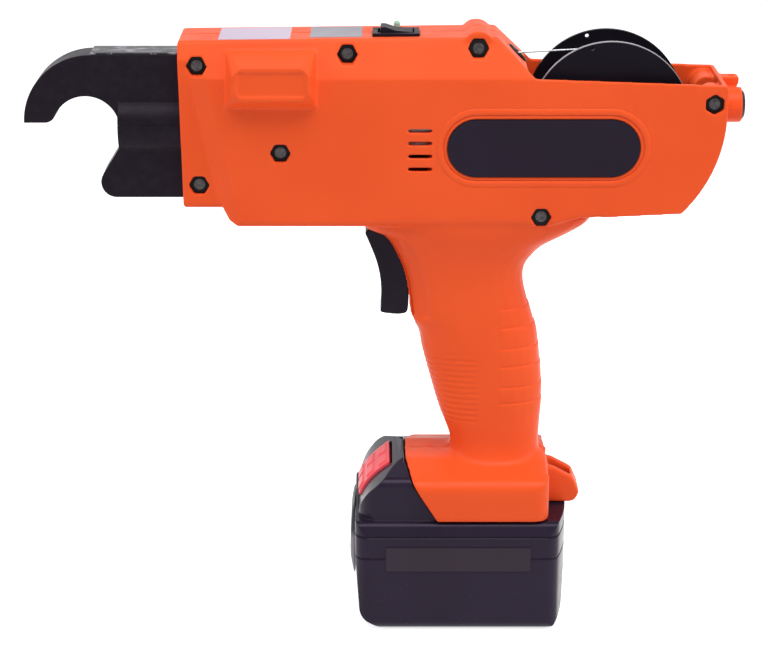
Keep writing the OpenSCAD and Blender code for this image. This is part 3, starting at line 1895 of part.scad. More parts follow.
module latch_zone(loose, rise, deep, w = latch_w, from = latch_from_angle, to = latch_to_angle) {
  side(w + 2 * loose)
    intersection() {
      difference() {
        offset(delta = rise)
          hump_outline();
        offset(delta = -deep)
          hump_outline();
      }
      offset(delta = loose)
        translate([latch_x, latch_z])
          polygon(concat([[0, 0]], arc(0, 0, latch_reach, from, to, 6)));
    }
}

module battery_upper() {
  color([0.06, 0.06, 0.07])
    difference() {
      union() {
        difference() {
          intersection() {
            batt_form(0);
            box([-far, -far, seam_z], [far, far, batt_h]);
          }
          intersection() {
            batt_form(batt_wall);
            box([-far, -far, 0], [far, far, batt_h - batt_wall]);
          }
        }
        hump_form();
        box([foot_lean - foot_front - 2 * over, slip - rail_neck, batt_h - over],
            [head_end, rail_neck - slip, foot_z + rail_lip + over]);
        box([-foot_front + over, slip - rail_head, foot_z + rail_lip + slip],
            [head_end, rail_head - slip, foot_z + rail_h - slip]);
      }
      case_line(batt_h - bevel_z - line_w);
      for (t = [0:latch_travel / 2:latch_travel])
        translate([sin(latch_tilt) * t, 0, -cos(latch_tilt) * t])
          latch_zone(latch_side, latch_rise + over, latch_deep);
      translate([latch_x - latch_spring_fore, 0, latch_z + latch_spring_up])
        rotate([0, -latch_tilt, 0])
          cylinder(h = latch_well, r = latch_spring_r + spring_d);
      for (i = [0:blade_n - 1])
        translate([block_term_x - blade_l - part_gap,
                   (i - (blade_n - 1) / 2) * blade_pitch - blade_t / 2 - gap,
                   foot_z + rail_h - block_term_h / 2 - blade_tall / 2 - gap])
          cube([far, blade_t + 2 * gap, blade_tall + 2 * gap]);
    }
}

module latch_button() {
  color([0.72, 0.07, 0.08])
    union() {
      latch_zone(0, latch_rise, latch_deep);
      for (i = [0:grip_bar_rows - 1])
        for (y = [-grip_bar_y, grip_bar_y])
          translate([0, y, 0])
            latch_zone(0, latch_rise + grip_bar_rise, 0, grip_bar_w,
                       latch_bar(i + (1 - grip_bar_share) / 2),
                       latch_bar(i + (1 + grip_bar_share) / 2));
    }
}

module latch_spring() {
  color([0.7, 0.7, 0.72])
    translate([latch_x - latch_spring_fore, 0, latch_z + latch_spring_up])
      rotate([0, -latch_tilt, 0])
        translate([0, 0, slip])
          coil(latch_spring_r, spring_d / 2, latch_spring_l, 4);
}

module battery_cells() {
  color([0.25, 0.45, 0.6])
    for (i = [0:cell_n - 1])
      for (k = [0, 1])
        rod_y(cell_mid + (i - (cell_n - 1) / 2) * cell_pitch,
              batt_wall + cell_lift + cell_r + k * cell_pitch, -cell_l / 2, cell_l / 2, cell_r);
}

module battery_board() {
  color([0.08, 0.3, 0.16])
    translate([cell_mid - pack_l / 2, -pack_w / 2,
               batt_wall + cell_lift + slip + 2 * cell_r + cell_pitch])
      cube([pack_l, pack_w, pack_t]);
}

module battery_screws() {
  color([0.5, 0.5, 0.52])
    for (x = [-screw_x, screw_x])
      for (y = [-screw_y, screw_y])
        translate([x, y, screw_deep])
          cylinder(h = screw_head_t, r = screw_head_r);
}

module battery_tab() {
  color([0.45, 0.46, 0.48])
    side(tab_w)
      polygon(concat([for (p = smooth(tab_shares, 4))
                          [tab_front - p[0] * tab_bow, tab_low + p[1] * tab_h]],
                     [for (p = smooth(tab_back_shares, 4))
                          [tab_front + p[0] * tab_t, tab_low + p[1] * tab_h]]));
}

left_housing();
right_housing();
housing_bolts();
housing_nuts();
name_plate();
upper_jaw();
lower_jaw();
jaw_cover();
twist_motor();
motor_pinion();
ring_gear();
planet_gear_1();
planet_gear_2();
planet_gear_3();
twist_spindle();
spindle_bearing();
twist_sleeve();
claw_left();
claw_right();
claw_pins();
cutter_lever();
cutter_blade();
cutter_pin();
wire_inlet();
feed_motor();
feed_plate();
feed_roller();
idler_roller();
idler_lever();
idler_pin();
guide_tube();
wire_strand();
wire_reel();
reel_wire();
reel_axle();
brake_shoe();
brake_spring();
brake_cap();
trigger();
trigger_pin();
trigger_spring();
trigger_switch();
control_board();
power_switch();
power_rocker();
status_lamp();
terminal_block();
terminal_blades();
battery_lower();
battery_upper();
battery_cells();
battery_board();
battery_screws();
latch_button();
latch_spring();
battery_tab();
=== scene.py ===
"""Looks of the rebar tying tool: moulded shells, finishes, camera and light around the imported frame."""

import json
import math

import bpy
import numpy as np
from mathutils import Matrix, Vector


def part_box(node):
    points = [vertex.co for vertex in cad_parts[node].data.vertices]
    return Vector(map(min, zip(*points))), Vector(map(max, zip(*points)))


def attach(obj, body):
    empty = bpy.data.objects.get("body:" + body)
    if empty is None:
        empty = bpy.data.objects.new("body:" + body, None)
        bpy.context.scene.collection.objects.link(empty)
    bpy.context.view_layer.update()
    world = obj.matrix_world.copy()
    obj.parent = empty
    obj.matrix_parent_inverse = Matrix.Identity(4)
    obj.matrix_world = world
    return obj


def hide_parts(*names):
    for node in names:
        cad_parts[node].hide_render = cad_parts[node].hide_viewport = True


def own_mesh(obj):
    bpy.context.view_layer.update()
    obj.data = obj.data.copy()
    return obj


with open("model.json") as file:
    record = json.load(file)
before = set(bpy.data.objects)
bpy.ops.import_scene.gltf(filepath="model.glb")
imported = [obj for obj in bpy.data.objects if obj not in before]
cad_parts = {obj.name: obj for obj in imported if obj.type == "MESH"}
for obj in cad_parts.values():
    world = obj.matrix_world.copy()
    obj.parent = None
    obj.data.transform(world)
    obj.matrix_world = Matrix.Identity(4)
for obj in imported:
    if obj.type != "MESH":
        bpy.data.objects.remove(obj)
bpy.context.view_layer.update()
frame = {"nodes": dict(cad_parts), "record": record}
NODES = frame["nodes"]
BODIES = frame["record"]["behaviour"]["bodies"]
BODY_OF = {node: body for body, nodes in BODIES.items() for node in nodes}
# Sizes below are in millimetres unless said
MM = 0.001


def link(obj):
    """The object, put into the scene."""
    bpy.context.scene.collection.objects.link(obj)
    return obj


# Camera, at the photograph's place: level in yaw, looking down on the near side

CAMERA_AT = (-36.4 * MM, -1046.2 * MM, 480.1 * MM)
CAMERA_DOWN = math.radians(18)
PIXELS_WIDE = 768
FOCAL_PIXELS = 2350
SENSOR = 36

camera_data = bpy.data.cameras.new("camera")
camera_data.sensor_width = SENSOR
camera_data.lens = SENSOR * FOCAL_PIXELS / PIXELS_WIDE
camera = link(bpy.data.objects.new("camera", camera_data))
camera.location = CAMERA_AT
camera.rotation_euler = (math.pi / 2 - CAMERA_DOWN, 0, 0)
bpy.context.scene.camera = camera
bpy.context.scene.view_settings.view_transform = "Standard"


# Shader helpers

# The middle of a noise's range, over which tones and gloss are spread
NOISE_LOW = 0.3
NOISE_HIGH = 0.7
# Features per metre of a moulding's shade drift and gloss, and of a metal's gloss
SHADE_DRIFT = 22
MOULDING_GLOSS = 90
METAL_GLOSS = 140


def shader(name):
    """A new node material and its Principled shader."""
    material = bpy.data.materials.new(name)
    material.use_nodes = True
    return material, material.node_tree, material.node_tree.nodes["Principled BSDF"]


def noise(tree, scale, detail=3.0, stretch=(1, 1, 1)):
    """Noise over the piece's own coordinates, in features per metre."""
    place = tree.nodes.new("ShaderNodeTexCoord")
    mapping = tree.nodes.new("ShaderNodeMapping")
    mapping.inputs["Scale"].default_value = stretch
    texture = tree.nodes.new("ShaderNodeTexNoise")
    texture.inputs["Scale"].default_value = scale
    texture.inputs["Detail"].default_value = detail
    tree.links.new(place.outputs["Object"], mapping.inputs["Vector"])
    tree.links.new(mapping.outputs["Vector"], texture.inputs["Vector"])
    return texture.outputs["Fac"]


def tones(tree, fac, dark, light):
    """A colour ramp from dark to light over the middle of fac's range."""
    node = tree.nodes.new("ShaderNodeValToRGB")
    stops = ((NOISE_LOW, dark), (NOISE_HIGH, light))
    for element, (place, colour) in zip(node.color_ramp.elements, stops):
        element.position = place
        element.color = (*colour, 1)
    tree.links.new(fac, node.inputs["Fac"])
    return node.outputs["Color"]


def spread(tree, fac, low, high, start=NOISE_LOW, end=NOISE_HIGH):
    """fac from start..end mapped to low..high."""
    node = tree.nodes.new("ShaderNodeMapRange")
    node.inputs["From Min"].default_value = start
    node.inputs["From Max"].default_value = end
    node.inputs["To Min"].default_value = low
    node.inputs["To Max"].default_value = high
    tree.links.new(fac, node.inputs["Value"])
    return node.outputs["Result"]


def bump(tree, bsdf, height, distance):
    """Surface relief of that height, in metres."""
    node = tree.nodes.new("ShaderNodeBump")
    node.inputs["Distance"].default_value = distance
    tree.links.new(height, node.inputs["Height"])
    tree.links.new(node.outputs["Normal"], bsdf.inputs["Normal"])


def maths(tree, operation, a, b):
    """The operation on two sockets."""
    node = tree.nodes.new("ShaderNodeMath")
    node.operation = operation
    tree.links.new(a, node.inputs[0])
    tree.links.new(b, node.inputs[1])
    return node.outputs["Value"]


def own_place(tree, origin):
    """The piece's own coordinates measured from origin, split into X, Y and Z."""
    place = tree.nodes.new("ShaderNodeTexCoord")
    shift = tree.nodes.new("ShaderNodeMapping")
    shift.inputs["Location"].default_value = [-v for v in origin]
    parts = tree.nodes.new("ShaderNodeSeparateXYZ")
    tree.links.new(place.outputs["Object"], shift.inputs["Vector"])
    tree.links.new(shift.outputs["Vector"], parts.inputs["Vector"])
    return parts.outputs


def recolour(material, fac_of, colour):
    """The material's base colour turned to colour where fac_of(tree) is 1."""
    tree = material.node_tree
    base = tree.nodes["Principled BSDF"].inputs["Base Color"]
    node = tree.nodes.new("ShaderNodeMix")
    node.data_type = "RGBA"
    tree.links.new(fac_of(tree), node.inputs["Factor"])
    tree.links.new(base.links[0].from_socket, node.inputs["A"])
    node.inputs["B"].default_value = (*colour, 1)
    tree.links.new(node.outputs["Result"], base)


def plastic(name, dark, light, rough, grain, relief, specular=0.5, tint=(1, 1, 1)):
    """Moulded plastic: slow shade drift, fine spark-eroded grain of a relief in metres, uneven gloss."""
    material, tree, bsdf = shader(name)
    tree.links.new(tones(tree, noise(tree, SHADE_DRIFT, 2), dark, light), bsdf.inputs["Base Color"])
    tree.links.new(spread(tree, noise(tree, MOULDING_GLOSS, 3), *rough), bsdf.inputs["Roughness"])
    bump(tree, bsdf, noise(tree, grain, 4), relief)
    bsdf.inputs["Specular IOR Level"].default_value = specular
    bsdf.inputs["Specular Tint"].default_value = (*tint, 1)
    return material


def metal(name, dark, light, rough, grain, relief, metallic=1.0, stretch=(1, 1, 1), specular=0.5,
          tint=(1, 1, 1)):
    """Worked metal: streaked tone, uneven gloss and a fine lay of a relief in metres."""
    material, tree, bsdf = shader(name)
    streak = noise(tree, grain, 5, stretch)
    tree.links.new(tones(tree, streak, dark, light), bsdf.inputs["Base Color"])
    tree.links.new(spread(tree, noise(tree, METAL_GLOSS, 4), *rough), bsdf.inputs["Roughness"])
    bump(tree, bsdf, streak, relief)
    bsdf.inputs["Metallic"].default_value = metallic
    bsdf.inputs["Specular IOR Level"].default_value = specular
    bsdf.inputs["Specular Tint"].default_value = (*tint, 1)
    return material


# Materials

VIOLET = (0.92, 0.78, 1.0)
ORANGE = plastic("orange_moulding", (0.79, 0.083, 0.016), (0.84, 0.094, 0.019),
                 rough=(0.36, 0.46), grain=2600, relief=0.00002, specular=0.15)
BLACK = plastic("black_moulding", (0.008, 0.006, 0.010), (0.012, 0.009, 0.015),
                rough=(0.34, 0.46), grain=2200, relief=0.00003, specular=0.11, tint=VIOLET)
BATTERY = plastic("battery_moulding", (0.012, 0.008, 0.019), (0.017, 0.012, 0.026),
                  rough=(0.18, 0.28), grain=1800, relief=0.00001, specular=0.15, tint=VIOLET)
REEL = plastic("reel_moulding", (0.006, 0.005, 0.008), (0.009, 0.008, 0.012),
               rough=(0.3, 0.4), grain=1500, relief=0.00001, specular=0.05, tint=VIOLET)
RED = plastic("red_moulding", (0.74, 0.055, 0.075), (0.82, 0.075, 0.095),
              rough=(0.3, 0.4), grain=2400, relief=0.00002, specular=0.3)
RUBBER = plastic("grey_rubber", (0.060, 0.064, 0.072), (0.080, 0.085, 0.095),
                 rough=(0.45, 0.6), grain=3200, relief=0.00004, specular=0.3)
PLATE = plastic("bare_plate", (0.010, 0.007, 0.014), (0.014, 0.010, 0.019),
                rough=(0.34, 0.46), grain=900, relief=0.00001, specular=0.12, tint=VIOLET)
BAR = plastic("bare_strip", (0.026, 0.020, 0.027), (0.031, 0.024, 0.032),
              rough=(0.3, 0.4), grain=1200, relief=0.00001, specular=0.16, tint=VIOLET)
STEEL = metal("machined_steel", (0.42, 0.42, 0.43), (0.58, 0.58, 0.60),
              rough=(0.28, 0.42), grain=900, relief=0.00001, stretch=(1, 8, 8))
ZINC = metal("zinc_plate", (0.46, 0.45, 0.43), (0.62, 0.61, 0.58),
             rough=(0.3, 0.5), grain=700, relief=0.00001)
WIRE = metal("tie_wire", (0.55, 0.55, 0.57), (0.78, 0.78, 0.80),
             rough=(0.3, 0.42), grain=1500, relief=0.00001)
# The wound wire is the same wire as the strand, painted darker as the shade between the reel's flanges
SHADED_COIL = metal("wound_wire_painted_shade", (0.20, 0.20, 0.215), (0.36, 0.36, 0.385),
             rough=(0.32, 0.45), grain=1500, relief=0.00001)
BRASS = metal("brass", (0.62, 0.42, 0.16), (0.74, 0.54, 0.24),
              rough=(0.25, 0.4), grain=900, relief=0.00001)
# Blacked nut, darkened further as painted shade that stands for the deeper pockets the nuts sit in
NUT_WITH_SHADE = metal("blacked_nut_painted_shade", (0.004, 0.003, 0.004), (0.008, 0.007, 0.008),
            rough=(0.35, 0.5), grain=1200, relief=0.00002, metallic=0.0, specular=0.1)
BOLT = metal("blacked_bolt", (0.030, 0.026, 0.027), (0.085, 0.076, 0.08),
             rough=(0.25, 0.38), grain=700, relief=0.00004, metallic=0.85)
JAW = metal("blacked_steel", (0.007, 0.005, 0.008), (0.012, 0.009, 0.014),
            rough=(0.32, 0.44), grain=260, relief=0.00004, metallic=0.0, specular=0.1, tint=VIOLET)
COVER = metal("worn_strip", (0.016, 0.014, 0.019), (0.04, 0.037, 0.045),
              rough=(0.3, 0.42), grain=320, relief=0.00003, metallic=0.4)
BOARD = plastic("board_laminate", (0.02, 0.10, 0.045), (0.03, 0.14, 0.06),
                rough=(0.4, 0.5), grain=1500, relief=0.00002)
CELL = plastic("cell_wrap", (0.05, 0.15, 0.26), (0.07, 0.19, 0.31),
               rough=(0.3, 0.4), grain=1200, relief=0.00001)
LAMP = plastic("lamp_lens", (0.24, 0.42, 0.33), (0.32, 0.50, 0.40),
               rough=(0.12, 0.2), grain=1200, relief=0.00001)
LAVENDER = plastic("pale_label", (0.50, 0.40, 0.52), (0.55, 0.45, 0.57),
                   rough=(0.35, 0.45), grain=1400, relief=0.00001)
SILVER = plastic("grey_label", (0.20, 0.185, 0.23), (0.27, 0.25, 0.30),
                 rough=(0.3, 0.4), grain=1400, relief=0.00001)

FINISH = {
    "orange_plastic": ORANGE, "black_plastic": BLACK, "battery_plastic": BATTERY, "jaw_steel": JAW,
    "steel": STEEL, "zinc_steel": ZINC, "tie_wire": WIRE, "plate_black": PLATE, "red_plastic": RED,
    "grey_rubber": RUBBER, "brass": BRASS, "board_green": BOARD, "lamp_green": LAMP, "cell_wrap": CELL,
}
OWN_FINISH = {"wire_reel": REEL, "housing_nuts": NUT_WITH_SHADE, "housing_bolts": BOLT, "jaw_cover": COVER}
for name, node in NODES.items():
    for slot in node.material_slots:
        slot.material = OWN_FINISH.get(name, FINISH[slot.material.name.split(".")[0]])


# Second colours: a painted highlight on the near flange's rim, worn patches on the cover strip, and a painted
# reflection that makes the tab's lower half pale

REEL_CENTRE = (65, 0, 241.5)
REEL_R = 36
# Depths from the flange's edge between which the painted highlight on the rim comes in, and where the near
# flange ends in Y
RIM_START = 0.35
RIM_FULL = 0.1
NEAR_FLANGE_Y = -5
# Painted highlight: the light grey that stands for the rim's reflection of the white surroundings
RIM_HIGHLIGHT_COLOUR = (0.36, 0.35, 0.38)
WEAR_SCALE = 130
WEAR_STRETCH = (1, 2.5, 1)
WEAR_EDGES = (0.56, 0.62)
WEAR_COLOUR = (0.30, 0.29, 0.33)
# Heights between which the tab turns from the pale painted reflection on its lower half to the darker upper
# half, which stands for shade
TAB_SHEEN_TOP = 37
TAB_SHADE_LOW = 41
# Painted reflection: light grey standing for the white surroundings mirrored in the tab's lower half
TAB_SHEEN_COLOUR = (0.40, 0.39, 0.43)


def reel_rim_highlight(tree):
    """1 on the rim of the near flange, where a highlight is painted."""
    x, y, z = own_place(tree, [v * MM for v in REEL_CENTRE])
    radius = tree.nodes.new("ShaderNodeMath")
    radius.operation = "SQRT"
    squares = maths(tree, "ADD", maths(tree, "MULTIPLY", x, x), maths(tree, "MULTIPLY", z, z))
    tree.links.new(squares, radius.inputs[0])
    rim_highlight_share = spread(tree, radius.outputs["Value"], 0, 1, (REEL_R - RIM_START) * MM, (REEL_R - RIM_FULL) * MM)
    return maths(tree, "MULTIPLY", rim_highlight_share, spread(tree, y, 1, 0, NEAR_FLANGE_Y * MM, 0))


def worn(tree):
    """1 on the worn patches."""
    return spread(tree, noise(tree, WEAR_SCALE, 5, WEAR_STRETCH), 0, 1, *WEAR_EDGES)


def painted_sheen_half(tree):
    """1 on the lower half of the tab, where a reflection is painted; the upper half keeps the darker tone as
    painted shade.
    """
    return spread(tree, own_place(tree, (0, 0, 0))[2], 1, 0, TAB_SHEEN_TOP * MM, TAB_SHADE_LOW * MM)


# Painted highlight on the near flange's rim
recolour(REEL, reel_rim_highlight, RIM_HIGHLIGHT_COLOUR)
recolour(COVER, worn, WEAR_COLOUR)
# Painted reflection on the tab's lower half, painted shade left on its upper half
recolour(RUBBER, painted_sheen_half, TAB_SHEEN_COLOUR)


# Copies of CAD nodes

def copy_of(node, ending):
    """A copy of a CAD node, under its name and the ending."""
    source = NODES[node]
    mesh = source.data.copy()
    mesh.transform(source.matrix_world)
    return link(bpy.data.objects.new(node + ending, mesh))


def stand_in(piece, node):
    """The piece takes the CAD node's finish and body, and stands for it."""
    piece.data.materials.clear()
    piece.data.materials.append(NODES[node].material_slots[0].material)
    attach(piece, BODY_OF[node])
    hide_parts(node)


def settle(piece):
    """The piece's modifiers, applied."""
    graph = bpy.context.evaluated_depsgraph_get()
    mesh = bpy.data.meshes.new_from_object(piece.evaluated_get(graph))
    piece.modifiers.clear()
    old = piece.data
    piece.data = mesh
    bpy.data.meshes.remove(old)


def shade_smooth(mesh):
    mesh.polygons.foreach_set("use_smooth", [True] * len(mesh.polygons))


def points(mesh, field="co"):
    """The mesh's vertex places or normals, as rows."""
    flat = np.empty(len(mesh.vertices) * 3, dtype=np.float32)
    mesh.vertices.foreach_get(field, flat)
    return flat.reshape(-1, 3)


# Moulded pieces: the CAD solid with its edges rounded as a mould rounds them

def smooth(piece, rounds, share):
    """Rounds of smoothing on the vertices where share is over 0, by that share."""
    group = piece.vertex_groups.new(name="rounded")
    for level in np.unique(share[share > 0]):
        group.add(np.flatnonzero(share == level).tolist(), float(level), "REPLACE")
    modifier = piece.modifiers.new("smooth", "SMOOTH")
    modifier.factor = 0.5
    modifier.iterations = rounds
    modifier.vertex_group = "rounded"
    settle(piece)
    piece.vertex_groups.clear()


def moulded(node, voxel, passes, relief=None, keep=1.0):
    """A copy of a CAD node remeshed at voxel, smoothed by passes of (rounds, share of the places), with a
    relief; keep is the share of the faces that stays."""
    piece = copy_of(node, "_moulding")
    remesh = piece.modifiers.new("remesh", "REMESH")
    remesh.mode = "VOXEL"
    remesh.voxel_size = voxel * MM
    settle(piece)
    for rounds, share in passes:
        smooth(piece, rounds, share(points(piece.data) / MM))
    if relief:
        place = points(piece.data)
        normal = points(piece.data, "normal")
        place += normal * (relief(place / MM, normal) * MM)[:, None]
        piece.data.vertices.foreach_set("co", place.ravel())
        piece.data.update()
    if keep < 1:
        piece.modifiers.new("thin", "DECIMATE").ratio = keep
        settle(piece)
    shade_smooth(piece.data)
    stand_in(piece, node)


# Half-depth of the parting faces, which stay sharp
SEAM = 1.2
# Ranges of X, Z and distance from the middle plane
ALL_X = (-200, 200)
ALL_Z = (0, 300)
ALL_Y = (SEAM, 40)
TRIGGER_SLOT = {"x": (-60, -8), "z": (138, 200), "y": (0, 11)}
GRIP = {"z": (84, 191), "y": (SEAM, 24)}
GRIP_ROOT = {"x": (-14, 48), "z": (74, 97), "y": (SEAM, 25)}
FLARE = {"x": (-42, 62), "z": (180, 200)}
FOOT = {"x": (-30, 60), "z": (45, 84)}
# X, Z and radius of the lowest nut's pocket
LOW_NUT = (34.5, 198.6, 7)


def step(v, low, high):
    """0 below low, 1 above high, smooth between."""
    t = np.clip((v - low) / (high - low), 0, 1)
    return t * t * (3 - 2 * t)


def zone(p, x=ALL_X, z=ALL_Z, y=ALL_Y):
    """The places inside a box, both sides of the middle plane."""
    inside = (p[:, 0] > x[0]) & (p[:, 0] < x[1]) & (p[:, 2] > z[0]) & (p[:, 2] < z[1])
    return inside & (np.abs(p[:, 1]) > y[0]) & (np.abs(p[:, 1]) < y[1])


def everywhere(p):
    return np.ones(len(p))


def off_seam(p):
    """All but the parting faces of the shells."""
    return (np.abs(p[:, 1]) > SEAM).astype(float)


def grip_share(p):
    """The hand grip's own faces, without the trigger's slot."""
    return (zone(p, **GRIP) & ~zone(p, **TRIGGER_SLOT)).astype(float)


def root_share(p):
    """The hollow where the grip stands on the foot."""
    return zone(p, **GRIP_ROOT).astype(float)


def flare_share(p):
    """The hollow under the body, without the trigger's slot and the nut's pocket."""
    pocket = np.hypot(p[:, 0] - LOW_NUT[0], p[:, 2] - LOW_NUT[1]) < LOW_NUT[2]
    return (zone(p, **FLARE) & ~zone(p, **TRIGGER_SLOT) & ~pocket).astype(float)


def foot_share(p):
    """The foot and the strap loop."""
    return zone(p, **FOOT).astype(float)


# Middle line of the grip (height, X)
GRIP_LINE = ((79, 16), (88, 15.6), (101, 13.4), (115, 11.4), (131, 8.6), (139, 7.3), (155, 1.6), (165, 0))
# Palm bands: edge heights, rise, line between two bands, share where the rise falls off, X where they start
BANDS = (97.8, 106.8, 114.7, 124.8, 133.5, 143.5, 152.5)
BAND_RISE = 0.35
BAND_LINE = 0.32
BAND_FALL_SHARE = 0.93
BAND_X = (16.5, 17.6)
# Finger grooves: pitch, depth, half-width, heights where they start and end, X where they fade out
GROOVE_PITCH = 2.75
GROOVE_DEEP = 0.34
GROOVE_HALF = 0.5
GROOVE_START = (95, 99)
GROOVE_END = (128, 132)
GROOVE_X = (5, 9)
# Thinner web behind the trigger: edge (height, X), fade across it, depth, heights where it starts and ends
WEB_EDGE = ((144.8, -20), (149, -15.8), (160.7, -16.8), (170, -19.1), (180, -22.8), (186, -27.9), (190, -34))
WEB_FADE = (1.5, 2)
WEB_DEEP = 1.3
WEB_START = (145, 149)
WEB_END = (182, 190)


def grip_relief(p, normal):
    """Shift of the shells' outer faces along their normals: palm bands, finger grooves, trigger web."""
    x, y, z = p.T
    middle = np.interp(z, *zip(*GRIP_LINE))
    outer = ((x - middle) * normal[:, 0] + y * normal[:, 1]) > 0
    edge = np.clip(np.searchsorted(BANDS, z) - 1, 0, len(BANDS) - 2)
    low = np.array(BANDS)[edge]
    high = np.array(BANDS)[edge + 1]
    band = (z - low) / (high - low)
    band = np.where((z > BANDS[0]) & (z < BANDS[-1]), band * (1 - step(band, BAND_FALL_SHARE, 1)), 0)
    line = np.exp(-(np.min(np.abs(z[:, None] - np.array(BANDS[1:])), axis=1) / GROOVE_HALF) ** 2)
    palm = (BAND_RISE * band - BAND_LINE * line) * step(x, *BAND_X)
    away = np.abs((z / GROOVE_PITCH) % 1 - 0.5) * GROOVE_PITCH
    groove = np.exp(-(away / GROOVE_HALF) ** 2) * step(z, *GROOVE_START) * (1 - step(z, *GROOVE_END))
    shift = palm - GROOVE_DEEP * groove * (1 - step(x, *GROOVE_X))
    edge_x = np.interp(z, *zip(*WEB_EDGE))
    web = 1 - step(x, edge_x - WEB_FADE[0], edge_x + WEB_FADE[1])
    web = web * step(z, *WEB_START) * (1 - step(z, *WEB_END))
    return np.where(outer, shift - WEB_DEEP * web, 0)


SHELL_VOXEL = 0.5
SHELL_KEEP = 0.4
SHELL_PASSES = ((9, off_seam), (50, grip_share), (150, root_share), (60, flare_share), (20, foot_share))
for side in ("left_housing", "right_housing"):
    moulded(side, SHELL_VOXEL, SHELL_PASSES, grip_relief, SHELL_KEEP)
for part, slot, voxel, rounds in (
    ("trigger", "black_plastic", 0.4, 8),
    ("latch_button", "red_plastic", 0.3, 5),
    ("battery_tab", "grey_rubber", 0.3, 6),
):
    moulded(part, voxel, [(rounds, everywhere)])


# Eased pieces: the CAD solid with its sharp edges broken

# Share of the edge's width within which stray points of the facets are joined
WELD_SHARE = 0.4
FLAT_ANGLE = math.radians(1)
EDGE_ANGLE = math.radians(32)
SHARP_ANGLE = math.radians(14)


def eased(node, width):
    """A copy of a CAD node with its sharp edges broken by width and its facets shaded smooth."""
    piece = copy_of(node, "_eased")
    weld = piece.modifiers.new("weld", "WELD")
    weld.merge_threshold = WELD_SHARE * width * MM
    flat = piece.modifiers.new("flat", "DECIMATE")
    flat.decimate_type = "DISSOLVE"
    flat.angle_limit = FLAT_ANGLE
    bevel = piece.modifiers.new("edge", "BEVEL")
    bevel.width = width * MM
    bevel.segments = 3
    bevel.limit_method = "ANGLE"
    bevel.angle_limit = EDGE_ANGLE
    bevel.use_clamp_overlap = False
    settle(piece)
    shade_smooth(piece.data)
    piece.data.set_sharp_from_angle(angle=SHARP_ANGLE)
    normals = piece.modifiers.new("normals", "WEIGHTED_NORMAL")
    normals.keep_sharp = True
    stand_in(piece, node)


for part, slot, width in (
    ("battery_lower", "battery_plastic", 0.4),
    ("battery_upper", "battery_plastic", 0.4),
    ("upper_jaw", "jaw_steel", 0.3),
    ("lower_jaw", "jaw_steel", 0.3),
    ("jaw_cover", "jaw_steel", 0.2),
    ("power_switch", "black_plastic", 0.3),
    ("power_rocker", "black_plastic", 0.3),
    ("brake_cap", "black_plastic", 0.3),
):
    eased(part, width)


# Springs: copies of the CAD springs that stand for them

def spring(node, push):
    """A copy of a CAD spring, which stands for it; the point furthest along push is found as its seat, and the
    copy gets a mesh of its own.
    """
    piece = copy_of(node, "_coil")
    stand_in(piece, node)
    place = points(piece.data)
    along = place @ np.array(push)
    seat = tuple(float(v) for v in place[along.argmax()])
    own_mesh(piece)


spring("trigger_spring", push=(1, 0, 0))
spring("brake_spring", push=(1, 0, 0))
spring("latch_spring", push=(0.6, 0, -0.8))


# New pieces

def add_mesh(name, verts, faces, material, body):
    """A piece from its points and faces, which rides on the body."""
    mesh = bpy.data.meshes.new(name)
    mesh.from_pydata([[v * MM for v in p] for p in verts], [], faces)
    mesh.update()
    mesh.materials.append(material)
    piece = link(bpy.data.objects.new(name, mesh))
    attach(piece, body)
    return piece


# The wound wire, loop by loop round a core

WIND_R = 27
WIND_HALF = 13.3
WIRE_R = 0.4
HUB_R = 13.2
LOOP_STEPS = 60
LOOP_SIDES = 8


def round_reel(radius, y, turn):
    """The point at that radius, Y and turn round the reel's axis."""
    return REEL_CENTRE[0] + radius * math.sin(turn), y, REEL_CENTRE[2] + radius * math.cos(turn)


def winding():
    """One unbroken tube of loops, and the core that they lie on."""
    loops = int(WIND_HALF / WIRE_R)
    rings = loops * LOOP_STEPS + 1
    verts, faces = [], []
    for i in range(rings):
        turn = 2 * math.pi * i / LOOP_STEPS
        along = WIND_HALF - 2 * WIRE_R * i / LOOP_STEPS
        for k in range(LOOP_SIDES):
            a = 2 * math.pi * k / LOOP_SIDES
            verts.append(round_reel(WIND_R + WIRE_R * math.cos(a), along + WIRE_R * math.sin(a), turn))
    for i in range(rings - 1):
        for k in range(LOOP_SIDES):
            a, b = i * LOOP_SIDES + k, i * LOOP_SIDES + (k + 1) % LOOP_SIDES
            faces.append((a, b, b + LOOP_SIDES, a + LOOP_SIDES))
    faces.append(tuple(reversed(range(LOOP_SIDES))))
    faces.append(tuple((rings - 1) * LOOP_SIDES + k for k in range(LOOP_SIDES)))
    base = len(verts)
    for y in (-WIND_HALF, WIND_HALF):
        for r in (HUB_R, WIND_R - WIRE_R):
            verts += [round_reel(r, y, 2 * math.pi * k / LOOP_STEPS) for k in range(LOOP_STEPS)]
    near_in, near_out, far_in, far_out = (base + m * LOOP_STEPS for m in range(4))
    for k in range(LOOP_STEPS):
        j = (k + 1) % LOOP_STEPS
        faces += [
            (near_in + k, near_in + j, near_out + j, near_out + k),
            (far_in + k, far_out + k, far_out + j, far_in + j),
            (near_out + k, near_out + j, far_out + j, far_out + k),
            (near_in + k, far_in + k, far_in + j, near_in + j),
        ]
    piece = add_mesh("wire_winding", verts, faces, SHADED_COIL, BODY_OF["reel_wire"])
    shade_smooth(piece.data)
    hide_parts("reel_wire")


winding()


# Plain labels on the top and a plain strip on the battery's side

# Front edge of the body's top face, its rise and the length that it rises over
TOP_X = -128.3
TOP_Z = 277.8
TOP_RISE = 1.6
TOP_L = 142.3
LABEL_T = 0.15
STRIP_T = 0.6
STRIP_X = (-35.5, 32)
STRIP_Z = (30.8, 42.6)
BATTERY_Y = -36
